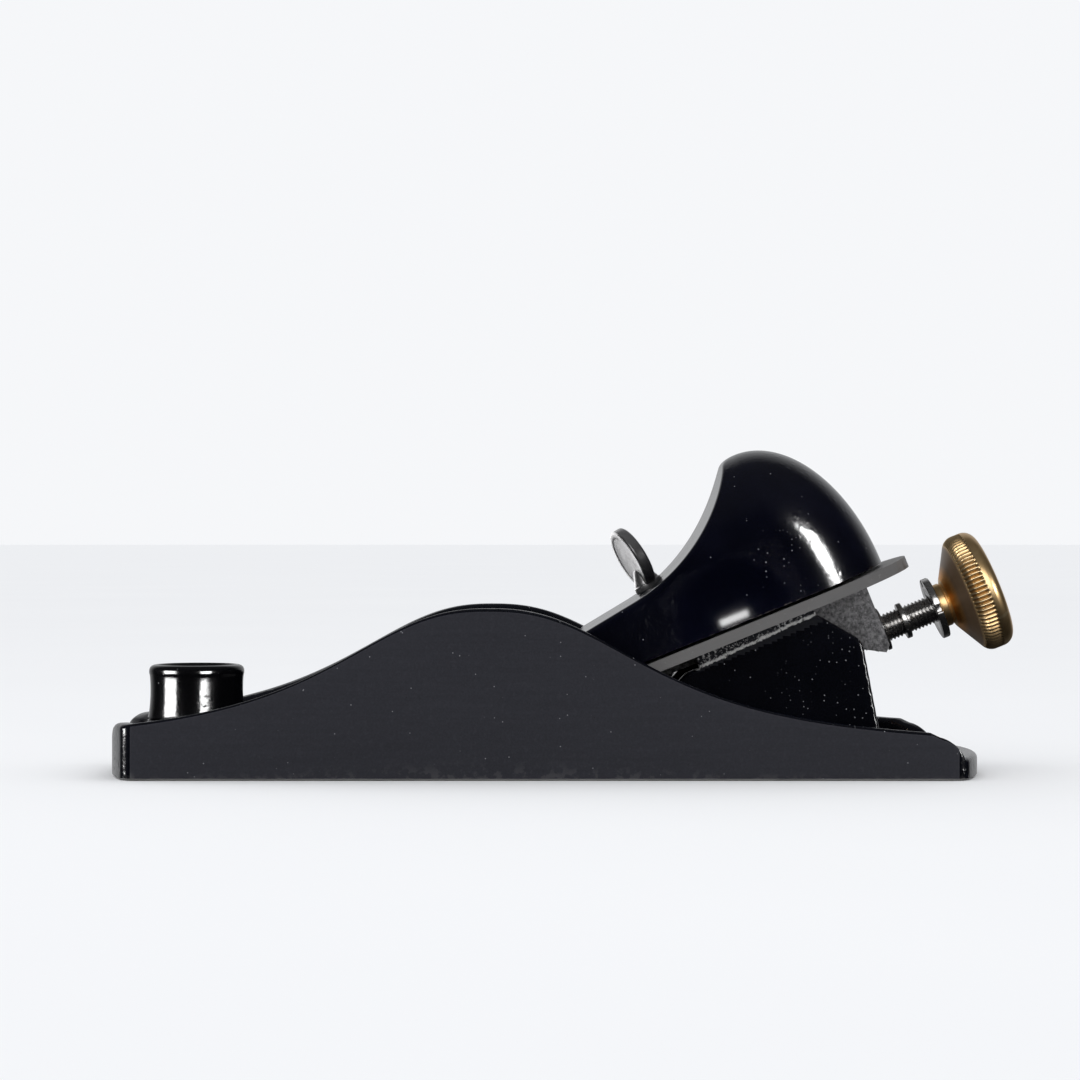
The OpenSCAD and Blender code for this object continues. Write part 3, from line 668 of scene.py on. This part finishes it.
def eased_copy(name, node, width, segments=2):
    """A merged copy of a CAD node in millimetres, flat faces made whole and sharp edges rounded."""
    made = new_object(name, NODES[node].data.copy())
    made.data.transform(Matrix.Scale(1 / MM, 4))
    work = bmesh.new()
    work.from_mesh(made.data)
    bmesh.ops.remove_doubles(work, verts=work.verts, dist=2e-4)
    bmesh.ops.dissolve_limit(work, angle_limit=math.radians(0.6), verts=work.verts, edges=work.edges)
    work.to_mesh(made.data)
    work.free()
    ease = made.modifiers.new("ease", "BEVEL")
    ease.width, ease.segments, ease.limit_method = width, segments, "ANGLE"
    ease.angle_limit = math.radians(38)
    ease.use_clamp_overlap = True
    return settle(made)


# ---- body casting ----

HUMP_X, HUMP_H, HUMP_TOE, HUMP_HEEL, HUMP_POWER = -11.4, 34.7, 36.3, 37.5, 2.5
RIM_TOE, RIM_HEEL, NOSE_BULGE, CORNER_R = 7.4, 6.9, 5.0, 3.0
TOE_R, HEEL_R = 2.2, 6.5
TIP_H = 4.6  # height of the wall at the very tip of the heel


def cheek_h(x):
    """Height of the cheek's humped top edge."""
    rim, spread = (RIM_TOE, HUMP_TOE) if x < HUMP_X else (RIM_HEEL, HUMP_HEEL)
    return rim + (HUMP_H - rim) / (1 + (abs(x - HUMP_X) / spread) ** HUMP_POWER)


def cheek_outline():
    """Side view of the cheek's top edge from toe to heel."""
    end, x0, x1 = SOLE_L / 2, -SOLE_L / 2 + NOSE_BULGE, SOLE_L / 2 - NOSE_BULGE
    toe_top, heel_top = cheek_h(x0), cheek_h(x1)
    points = [(-end, toe_top - 3.2)] + arc((3.2 - end, toe_top - TOE_R), TOE_R, 172, 95, 12)
    points += [(x, cheek_h(x)) for x in np.linspace(x0, x1 - HEEL_R, 300)]
    points += arc((x1 + 0.3 - HEEL_R, heel_top - 0.3 - HEEL_R), HEEL_R, 80, 20, 24)
    return np.array(points + [(end, TIP_H - 2)])


OUTLINE = cheek_outline()


def wall_height(x):
    return np.maximum(np.interp(x, OUTLINE[:, 0], OUTLINE[:, 1]), TIP_H)


def boat(inset, side_steps=180, corner_steps=8, nose_steps=40):
    """The plan of the casting moved in by inset, as matching points all the way round."""
    length, width = SOLE_L / 2 - inset, BODY_W / 2 - inset
    nose = (width ** 2 + NOSE_BULGE ** 2) / (2 * NOSE_BULGE)
    cx = length - nose + math.sqrt((nose - CORNER_R) ** 2 - (width - CORNER_R) ** 2)
    cy = width - CORNER_R
    turn = math.degrees(math.atan2(cy, cx - length + nose))
    half = arc((cx, -cy), CORNER_R, -90, -turn, corner_steps)[:-1]
    half += arc((length - nose, 0), nose, -turn, turn, nose_steps)
    half += arc((cx, cy), CORNER_R, turn, 90, corner_steps)[1:]
    half += [(x, width) for x in np.linspace(cx, -cx, side_steps)[1:-1]]
    return np.array(half + [(-x, -y) for x, y in half])


def casting_shell():
    """Sole, cheeks and rounded rim as one closed skin."""
    top = wall_height(boat(0)[:, 0])
    chamfer, foot, rim, inner_rim, fillet = 0.5, 0.45, 1.0, 1.3, 2.2
    # Each ring of the section: how far it is moved in, its height, and how much of the wall's height it adds
    section = [(chamfer, 0.0, 0.0), (0.0, foot, 0.0)]
    section += [(0.0, foot - (rim + foot) * s, s) for s in (0.3, 0.6, 0.85, 1.0)]
    for a in np.radians((22, 45, 68, 90)):
        section.append((rim * (1 - math.cos(a)), -rim * (1 - math.sin(a)), 1.0))
    for a in np.radians((90, 60, 30, 0)):
        section.append((CHEEK_T - inner_rim * (1 - math.cos(a)), -inner_rim * (1 - math.sin(a)), 1.0))
    floor_edge = FLOOR_T + fillet
    section += [(CHEEK_T, floor_edge - (inner_rim + floor_edge) * s, s) for s in (0.7, 0.35, 0.0)]
    for a in np.radians((22, 45, 68, 90)):
        section.append((CHEEK_T + fillet * (1 - math.cos(a)), FLOOR_T + fillet * (1 - math.sin(a)), 0.0))
    verts = []
    for inset, base, share in section:
        height = base + top * share
        if inset >= CHEEK_T - inner_rim:
            limit = np.maximum(top - inner_rim * 0.2, FLOOR_T) if inset >= CHEEK_T else height
            height = np.clip(np.minimum(height, limit), FLOOR_T, None)
        verts += [(x, y, z) for (x, y), z in zip(boat(inset), height)]
    return skin("plane_casting", verts, len(top))


def cast_core():
    """Post, pivot boss and finger boss, softened as a sand casting leaves them."""
    foot, post_rear, post_corner, boss_half = 1, 69, 4, 9
    corner = (post_rear - 7.5, bed_z(98.3, -9.8) - 2.2)
    side = [(22, foot), (25, bed_z(60, -2.6) - 3)]
    side += [bed_pt(63, -2.6), bed_pt(LAND_U0, -2.6), bed_pt(92.3, -1.3)]
    side += arc(corner, post_corner, 48, 12, 6) + [(post_rear, 7.5), (post_rear + 1.4, foot)]
    core = prism("core", side, POST_W / 2)
    boss = [(bed_x(25, 0), foot), bed_pt(26, -EYE_DROP), bed_pt(42, -EYE_DROP), (bed_x(43, 0) + 2, foot)]
    join(core, prism("boss", boss, boss_half))
    cut(core, channel_block(-16.3))
    flare = [(15.5, foot), (13.0, 4.6), (11.2, 6.4), (10.6, 8.5), (10.4, REST_SEAT - 0.05)]
    inside = prism("inside", [(-84, 0.5), (-84, 30), (-58, 30), (-58, 0.5)], 23)
    join(core, combine(column("rest_boss", flare, REST_AXIS, 96), inside, "INTERSECT"))
    grain = core.modifiers.new("grain", "REMESH")
    grain.mode, grain.voxel_size = "VOXEL", 0.55
    soft = core.modifiers.new("soft", "SMOOTH")
    soft.factor, soft.iterations = 0.5, 7
    return settle(core)


def casting_finish(centre, normal):
    """Which finish a face of the casting has: enamel, dull side, sole, machined bed or pad edge."""
    u = (centre.x - MOUTH_X) * math.cos(BED) + centre.z * math.sin(BED)
    w = -(centre.x - MOUTH_X) * math.sin(BED) + centre.z * math.cos(BED)
    square = -normal.x * math.sin(BED) + normal.z * math.cos(BED)
    if abs(centre.y) > BODY_W / 2 - 0.1 and abs(normal.y) > 0.9:
        return 1
    if centre.z < 0.25 and normal.z < -0.5:
        return 2
    if abs(w + SEAT) < 0.12 and square > 0.9:
        return 3
    on_pad = LAND_U0 - 1 < u < LAND_U1 + 1.5 and -3.2 < w < 0.1
    if on_pad and CHANNEL_W / 2 - 0.1 < abs(centre.y) < POST_W / 2 + 0.5:
        return 4
    return 0


def channel_block(bottom):
    """What the channel for the feed screw takes out of the post."""
    return prism("channel", [(54, bottom), (54, 4), (120, 4), (120, bottom)], CHANNEL_W / 2, ON_BED)


def casting():
    body = join(casting_shell(), cast_core())
    bed_front, mouth_front = MOUTH_X + 1, MOUTH_X - MOUTH_GAP
    lip = (bed_front, math.tan(BED) - SEAT)
    mouth = [(mouth_front, -1), (bed_front, -1), lip, bed_pt(5.5 / math.sin(BED), -SEAT), (mouth_front, 5.5)]
    ramp = [(bed_front, 0.3), lip, bed_pt(17, -SEAT), (bed_x(17, 0) + 2.5, 0.6)]
    cut(body, prism("mouth", mouth, 22))
    join(body, prism("ramp", ramp, 22.3))
    pads = [(LAND_U0, -3.4), (LAND_U0, -0.2), (LAND_U0 + 0.17, -SEAT), (LAND_U1 - 0.1, -SEAT)]
    pads += [(LAND_U1 + 0.4, -0.4), (LAND_U1 + 0.7, -1.0), (LAND_U1, -3.4)]
    join(body, cut(prism("lands", pads, (POST_W - 0.6) / 2, ON_BED, 0.18), channel_block(-12)))
    pivot = [(TAP_R, -10.4), (TAP_R, -2.8), (3.2, -2.3), (3.2, 6)]
    cut(body, column("pivot_hole", pivot, ON_BED @ Matrix.Translation((CAP_SCREW_U, 0, 0))))
    cut(body, column("rest_hole", [(2.46, 2.5), (2.46, 10.6), (3.2, 11.3), (3.2, 14)], REST_AXIS))
    finishes = [ENAMEL, CHEEK, SOLE_IRON, BED_IRON, PAD_EDGE]
    return finish_piece(body, "body_casting", finishes, casting_finish, 40)


# ---- lever cap ----


def cap_top(inset):
    """Side view of the cap's back from the lip to the dome's crest, moved in by inset."""
    foot = np.array((SCOOP_U, cap_back(SCOOP_U)))
    centre = foot + SCOOP_R * np.array((-math.sin(CAP_SLOPE), math.cos(CAP_SLOPE)))
    start = math.degrees(CAP_SLOPE) - 90
    scoop = arc(centre, SCOOP_R + inset, start, start + math.degrees(SCOOP_SWEEP), 54)
    line = [(u, cap_back(u) - inset) for u in np.linspace(LIP_U, scoop[0][0], 30)[:-1]]
    if inset:
        return np.array(line + scoop + [(DOME_U, DOME_H - inset)])
    crest = bend(scoop[-1], (DOME_U - 2.95, DOME_H), (DOME_U, DOME_H), np.linspace(0, 1, 10)[1:])
    return np.array(line + scoop + crest)


def run_of(points):
    """How far along a polyline each of its points is."""
    return np.concatenate(([0], np.cumsum(np.linalg.norm(np.diff(points, axis=0), axis=1))))


def along(points, count):
    """Count points evenly spaced along a polyline."""
    run = run_of(points)
    at = np.linspace(0, run[-1], count)
    return np.column_stack([np.interp(at, run, points[:, k]) for k in range(2)])


def cap_section(half_width, plain, rounding, low, limit, corner=1.5):
    """The cap's section: up each side, over the rounding, and flat where the back cuts it off."""
    quarter = np.linspace(0, math.pi / 2, 400)
    path = [(half_width, low)]
    path += [(half_width * math.cos(a), low + plain + rounding * math.sin(a)) for a in quarter]
    path = np.array(path)
    edge = path[-1]
    if limit < edge[1] - 1e-6:
        cut_at = np.interp(limit, path[:, 1], np.arange(len(path)))
        edge = np.array((np.interp(cut_at, np.arange(len(path)), path[:, 0]), limit))
        path = np.vstack((path[path[:, 1] < limit - 1e-9], edge))
    reach = min(corner, edge[0] * 0.8, (edge[1] - low) * 0.4)
    run = run_of(path)
    stop = run[-1] - reach
    start = np.array([np.interp(stop, run, path[:, k]) for k in range(2)])
    rise = along(np.vstack((path[run < stop], start)), 64)
    flat_from = edge - np.array((reach, 0))
    turn = bend(start, edge, flat_from, np.linspace(0, 1, 10)[1:])
    flat = np.linspace(flat_from, (0, edge[1]), 24)[1:]
    half = np.vstack((rise, turn, flat))
    return np.vstack((half, half[-2::-1] * np.array((-1, 1))))


def cap_solid(name, inset, low, start):
    """The cap's outer form, or its hollow where inset is the wall."""
    half_width, rounding = CAP_W / 2 - inset, DOME_ROUND - inset
    plain = DOME_H - inset - low - rounding
    top = cap_top(inset)
    first = float(np.interp(start, top[:, 0], top[:, 1]))
    # Each section: where it stands on the bed, the back's height there, and how much its sides come in
    stations = [(start, first - 0.7, 0.6), (start + 0.2, first - 0.25, 0.2), (start + 0.6, first, 0.0)]
    stations += [(u, w, 0.0) for u, w in top if u > start + 0.7]
    verts = []
    for u, limit, squeeze in stations:
        section = cap_section(half_width, plain, rounding, low, limit)
        verts += [(u, y * (1 - squeeze / half_width), z) for y, z in section]
    crest, run_on = section, DOME_L - DOME_ROUND
    for a in np.radians(np.linspace(0, 90, 46)[1:]):
        for y, z in crest:
            back = (run_on + max(0.0, z - low - plain)) * math.sin(a)
            verts.append((DOME_U + back, y, low + (z - low) * math.cos(a)))
    return skin(name, [ON_BED @ Vector(p) for p in verts], len(crest))


def lever_cap():
    """Hollow cap: a lip that presses on the cutter, a web at the cap screw, a boss for the clamp screw."""
    cap = cap_solid("lever_cap_casting", 0, SKIRT_W, LIP_U)
    lip = [(LIP_U, 2.7), (LIP_U, 4.5), (LIP_U + 5, 4.5), (LIP_U + 5, 2.35), (LIP_U + 0.35, 2.35)]
    join(cap, prism("lip", lip, CAP_W / 2 - 0.5, ON_BED))
    web_end, web_low, web_high = CAP_SCREW_U + 8, 6.7, 26.7
    web = [(LIP_U, web_low), (LIP_U, web_high), (web_end, web_high), (web_end, web_low)]
    hollow = cap_solid("hollow", CAP_WALL, SKIRT_W - 1, LIP_U + 6)
    cut(cap, cut(hollow, prism("web", web, 12, ON_BED)))
    join(cap, column("clamp_boss", [(4.6, -7), (5.2, -6.4), (5.2, -1)], ON_CLAMP))
    front = CAP_SCREW_U - CAP_TRAVEL
    head_pass = ON_BED @ Matrix.Translation((front, 0, 0))
    cut(
        cap,
        slot_block("seat", front, CAP_SCREW_U, 6.6, 10.3, 22.3, ON_BED),
        slot_block("keyhole", front, CAP_SCREW_U, 3.5, 2.0, 14.3, ON_BED),
        column("head_hole", [(6.5, 2.0), (6.5, 14.3)], head_pass, 64),
        column("clamp_hole", [(TAP_R, -8), (TAP_R, 3)], ON_CLAMP),
        column("spot_face", [(3.6, 0.1), (3.6, 6.1)], ON_CLAMP),
    )
    return finish_piece(cap, "lever_cap", [CAP_ENAMEL], angle=50)


# ---- turned pieces ----


def finger_rest():
    """Waisted button: flared at its foot and its top, dished, with a sunk seat for the screw."""
    top_h, dish_r, dish_d, bore = 11.3, 8.4, 1.6, 2.7
    foot = [(bore, 0), (9.8, 0), (10.1, 0.1), (10.2, 0.35)]
    shares = np.linspace(0, 1, 30)
    waist = [(10.15 - 0.25 * s - 0.36 * math.sin(math.pi * s) ** 0.6, 0.5 + 9.0 * s) for s in shares]
    top = [(9.93, 9.9), (9.9, 10.3), (9.72, 10.75), (9.35, 11.08), (8.9, 11.25), (dish_r, top_h)]
    dish = [(r, top_h - dish_d * (1 - (r / dish_r) ** 4)) for r in np.linspace(8.0, 5.2, 8)]
    sunk = [(4.95, 9.85), (4.9, 9.6), (4.9, 7.7), (bore, 7.7), (bore, 0)]
    rows = foot + waist + top + dish + sunk
    seat = REST_AXIS @ Matrix.Translation((0, 0, REST_SEAT))
    rest = turned("finger_rest_button", rows, seat, REST_BLACK, 128)
    return finish_piece(rest, "finger_rest", [REST_BLACK])


def depth_knob():
    """Brass knob: coned front round a bright hub ring, ridges over the front of its rim, smooth behind."""
    bore, nose, ridge_count = 3.02, KNOB_FRONT - 5.25, 78
    rim_r, rim_front, rim_back = KNOB_R - KNOB_RIM, KNOB_FRONT + KNOB_RIM, KNOB_BACK - KNOB_RIM
    cone = math.degrees(CONE)
    hub = [(bore, nose), (4.55, nose), (4.6, 118.2), (4.6, 119.2), (4.35, 119.35), (4.35, 119.5)]
    rows = eased(hub, 0.12) + [(4.6, 119.62), (HUB_R, 119.84)]
    front_rim = arc((rim_r, rim_front), KNOB_RIM, -cone, 0, 18)
    cone_r, cone_u = front_rim[0]
    rows += [(r, cone_u - (cone_r - r) / math.tan(CONE)) for r in np.linspace(HUB_R + 0.3, cone_r, 14)[:-1]]
    for (r, z), a in zip(front_rim, np.linspace(-cone, 0, 18)):
        rows.append((r, z, min(1.0, (a + cone) / 12)))
    for z in np.linspace(rim_front, rim_back - 0.1, 9)[1:]:
        rows.append((KNOB_R, z, min(1.0, (rim_back - 0.1 - z) / 0.5)))
    rows += arc((rim_r, rim_back), KNOB_RIM, 0, 90, 22)
    rows += eased([(8.6, 129.95), (7.6, 129.2), (3.3, 129.2), (bore, 128.9), (bore, nose)], 0.25)
    rows.append((bore, nose))
    knob = turned("depth_knob_brass", rows, ON_SPINDLE, BRASS, ridge_count * 6, ridge_count, 0.42)
    return finish_piece(knob, "depth_knob", [BRASS], angle=60)


def threaded(z0, z1, radius, lead=0.8):
    """Profile rows of a thread that tapers in over lead at both ends."""
    taper, rows = 0.35, []
    for z in np.arange(z0, z1 + 1e-6, THREAD_PITCH / 10):
        share = min(1.0, (z - z0) / lead, (z1 - z) / lead)
        rows.append((radius - taper * (1 - share), z, 0.0, max(0.0, share)))
    return rows


def feed_spindle():
    """Spindle: thread in front, plain journal through the wall, flange, and thread up into the knob."""
    front_u, clip_u, collar_u, flange_u, rear_u = 72.8, 102.25, 105.5, 109.3, 129.2
    neck, journal, flange_r = 1.7, 2.2, 3.85
    rows = [(0.0, front_u), (journal, front_u)] + threaded(front_u + 0.1, clip_u - 0.1, SPINDLE_R)
    rows += [(neck, clip_u - 0.05), (neck, clip_u + 0.75), (journal, clip_u + 0.75), (journal, collar_u)]
    rows += [(SPINDLE_R, collar_u)] + threaded(collar_u + 0.1, flange_u - 0.05, SPINDLE_R, 0.3)
    flange = [(2.6, flange_u), (flange_r, flange_u), (flange_r, flange_u + 1.1), (2.6, flange_u + 1.1)]
    rows += eased(flange, 0.2) + threaded(flange_u + 1.15, rear_u - 0.8, SPINDLE_R)
    rows += eased([(SPINDLE_R, rear_u - 0.6), (2.9, rear_u), (0.0, rear_u)], 0.3)
    spindle = turned("feed_spindle_thread", rows, ON_SPINDLE, NICKEL, pitch=THREAD_PITCH, depth=0.45)
    return finish_piece(spindle, "feed_spindle", [NICKEL], angle=50)


def clamp_screw():
    """Thumb screw: thread, collar, and a round paddle with eased rims."""
    turn = ON_CLAMP @ Matrix.Rotation(math.radians(14.5), 4, "Z")
    tip = 2.6 - (cap_back(CLAMP_U) - 2.3) / math.cos(CAP_SLOPE)
    rows = [(0.0, tip), (2.0, tip)] + threaded(tip + 0.05, 0.0, 2.5)
    rows += eased([(2.5, 0.15), (3.1, 0.15), (3.1, 1.6), (2.4, 1.7), (1.3, 3.4), (0.0, 3.6)], 0.25)
    screw = turned("clamp_screw_thread", rows, turn, DULL_NICKEL, pitch=THREAD_PITCH, depth=0.4)
    half, radius, paddle_up, ease = 1.2, 6.9, 7.35, 0.35
    face = [(0.0, -half + 0.22), (3.0, -half + 0.2), (5.4, -half + 0.12), (5.75, -half)]
    rim = [(radius - ease, -half), (radius, ease - half), (radius, half - ease), (radius - ease, half)]
    disc = face + rim + [(r, -z) for r, z in reversed(face)]
    on_edge = turn @ Matrix.Translation((0, 0, paddle_up)) @ Matrix.Rotation(math.radians(90), 4, "Y")
    paddle = turned("paddle", eased(disc, 0.18), on_edge, DULL_NICKEL, 128)
    neck = [(0.0, 0.8), (2.9, 0.8), (2.7, 2.0), (2.0, 3.6), (1.25, 5.0), (0.0, 5.2)]
    join(paddle, turned("neck", eased(neck, 0.4), turn, DULL_NICKEL))
    join(screw, paddle)
    return finish_piece(screw, "clamp_screw", [DULL_NICKEL], angle=40)


# ---- assembly ----

BODY, CAP, REST = casting(), lever_cap(), finger_rest()
KNOB, SPINDLE, PADDLE = depth_knob(), feed_spindle(), clamp_screw()
SMALL = {}
for piece_name, node, material, width, segments in (
    ("locknut_ring", "knob_locknut", NICKEL, 0.22, 3),
    ("cutter_blade", "cutter", BLADE, 0.16, 2),
    ("carrier_sheet", "adjuster_carrier", ZINC, 0.28, 2),
    ("feed_nut_block", "feed_nut", SPRING, 0.2, 2),
    ("pivot_washer_disc", "pivot_washer", NICKEL, 0.12, 2),
    ("spindle_clip_ring", "spindle_clip", SPRING, 0.1, 2),
    ("thrust_washer_disc", "thrust_washer", NICKEL, 0.15, 2),
    ("rest_washer_disc", "finger_rest_washer", NICKEL, 0.1, 2),
    ("rest_screw", "finger_rest_screw", NICKEL, 0.16, 2),
    ("cap_screw_bright", "cap_screw", NICKEL, 0.2, 2),
    ("clamp_pad_brass", "clamp_pad", PAD_BRASS, 0.15, 2),
):
    SMALL[node] = finish_piece(eased_copy(piece_name, node, width, segments), node, [material])

# ---- floor, light and camera ----


def floor():
    """A wide pale floor."""
    low, high, steps, radius = (0.86, 0.865, 0.875), (0.89, 0.895, 0.9), 128, 30.0
    f = Finish("floor_paper")
    relief = f.bump(f.noise(0.4, 3.0), 0.05, 0.2)
    colour = f.mix(f.noise(0.004, 3.0), low, high)
    mesh = bpy.data.meshes.new("floor_disc")
    rim = [(x, y, 0) for x, y in arc((0, 0), radius, 0, 360, steps + 1)[:-1]]
    mesh.from_pydata(rim, [], [tuple(range(steps))])
    mesh.materials.append(f.surface(base_color=colour, roughness=0.8, specular_ior_level=0.0, normal=relief))
    made = new_object("floor_disc", mesh)
    made.visible_glossy = False


def softbox(name, target, azimuth, elevation, distance, width, height, radiance, only=(), lean=0.0):
    """A rectangular softbox facing a target: azimuth 0 is the near side, and it grows towards the heel.

    With pieces named in only, it shows in their gloss and lights nothing else. Without them, it lights
    everything and shows in nothing.
    """
    light = bpy.data.lights.new(name, "AREA")
    light.shape, light.size, light.size_y = "RECTANGLE", width, height
    light.energy = radiance * math.pi * width * height
    made = new_object(name, light)
    a, e = math.radians(azimuth), math.radians(elevation)
    away = Vector((math.sin(a) * math.cos(e), -math.cos(a) * math.cos(e), math.sin(e)))
    made.location = Vector(target) * MM + away * distance
    made.rotation_mode = "QUATERNION"
    tilt = Matrix.Rotation(math.radians(lean), 4, "Z").to_quaternion()
    made.rotation_quaternion = away.to_track_quat("Z", "Y") @ tilt
    made.visible_camera = False
    made.visible_glossy = bool(only)
    if only:
        made.visible_diffuse = False
        lit = bpy.data.collections.new(name + "_lights")
        for piece in only:
            lit.objects.link(piece)
        made.light_linking.receiver_collection = lit


def surroundings():
    """A near-white backdrop, a soft even fill, and a room for reflections that is light behind and above."""
    world = bpy.data.worlds.new("studio")
    SCENE.world = world
    world.use_nodes = True
    world.node_tree.nodes.clear()
    w = Nodes(world.node_tree)

    def glow(colour, strength):
        return w.node("Background", None, {"Color": (*colour, 1.0), "Strength": strength}).outputs[0]

    x, y, z = w.axes(w.node("TexCoord").outputs["Generated"])
    behind, above = y.step(0.45, 0.97, 0.0, ROOM_BEHIND), z.step(0.45, 1.0, 0.0, ROOM_ABOVE)
    over_floor, toe_side = z.step(-0.22, -0.02, 0.12, 1.0), x.step(-0.15, -0.4)
    room = (behind * over_floor.max(toe_side)).max(above) + ROOM_FRONT
    rays = w.node("LightPath").outputs
    sockets = {0: rays["Is Glossy Ray"], 1: glow(ROOM_WHITE, ROOM_FILL), 2: glow(ROOM_WHITE, room)}
    inner = w.node("MixShader", None, sockets).outputs[0]
    sockets = {0: rays["Is Camera Ray"], 1: inner, 2: glow(BACKDROP, 1.0)}
    w.node("OutputWorld", None, {0: w.node("MixShader", None, sockets).outputs[0]})


ROOM_FRONT, ROOM_BEHIND, ROOM_ABOVE, ROOM_FILL = 0.009, 0.55, 0.06, 1.0
ROOM_WHITE, BACKDROP = (0.97, 0.98, 1.0), (0.92, 0.93, 0.95)
REST_SPOT, DOME_SPOT, KNOB_SPOT = (REST_X, -9, 17), (56, -19, 46), (88, -8, 36)
POST_SPOT, TOE_SPOT, PADDLE_SPOT = (68, -14, 18), (-88, -20, 7), (43, -4, 46)
LOCKNUT = SMALL["knob_locknut"]
SMALL_METAL = [SPINDLE, *(made for node, made in SMALL.items() if node != "cutter")]

floor()
surroundings()
# What each faces, its azimuth, elevation, distance, width, height and radiance, and the pieces it shows on
softbox("rest_strip_left", REST_SPOT, -63, 4, 0.22, 0.13, 0.12, 30, [REST])
softbox("rest_strip_right", REST_SPOT, 30, 4, 0.22, 0.11, 0.12, 34, [REST])
softbox("dome_strip", DOME_SPOT, 48, 21, 0.5, 0.13, 0.13, 60, [CAP])
softbox("skirt_glint", SKIRT_SPOT, 3.7, -1.5, 0.5, 0.011, 0.0024, 20, [CAP], lean=22)
softbox("post_edge", POST_SPOT, 62, 12, 0.5, 0.05, 0.2, 34, [BODY])
softbox("toe_edge", TOE_SPOT, -80, 6, 0.4, 0.12, 0.1, 26, [BODY])
softbox("metal_front", (30, 0, 30), -12, 14, 0.7, 0.5, 0.16, 1.1, SMALL_METAL)
softbox("metal_left", (60, 0, 30), -75, 18, 0.6, 0.35, 0.3, 3.0, SMALL_METAL)
softbox("metal_right", KNOB_SPOT, 70, 22, 0.5, 0.12, 0.2, 7.0, SMALL_METAL)
softbox("knob_front", KNOB_SPOT, 8, 22, 0.5, 0.42, 0.3, 3.0, [KNOB, LOCKNUT, SPINDLE])
softbox("knob_glint", KNOB_SPOT, 56, 14, 0.5, 0.03, 0.08, 90, [KNOB])
softbox("hub_glint", KNOB_SPOT, -30, 6, 0.4, 0.05, 0.12, 16, [KNOB])
softbox("paddle_glint", PADDLE_SPOT, 27, 15, 0.5, 0.05, 0.035, 5, [PADDLE])
softbox("paddle_face", PADDLE_SPOT, -145, 4, 0.5, 0.4, 0.35, 1.9, [PADDLE])
softbox("neck_glint", PADDLE_SPOT, -35, 12, 0.4, 0.08, 0.08, 8, [PADDLE])
softbox("top_softbox", (0, 0, 30), -20, 66, 0.8, 0.5, 0.4, 0.9)
SCENE.view_settings.view_transform = "Standard"

lens = bpy.data.cameras.new("camera")
lens.lens, lens.sensor_width = 99.7, 36.0
lens.clip_start, lens.clip_end = 0.01, 100.0
camera = new_object("camera", lens)
camera.location = (-0.00094, -0.6272, 0.0485)
camera.rotation_euler = (math.radians(90), 0, 0)
SCENE.camera = camera
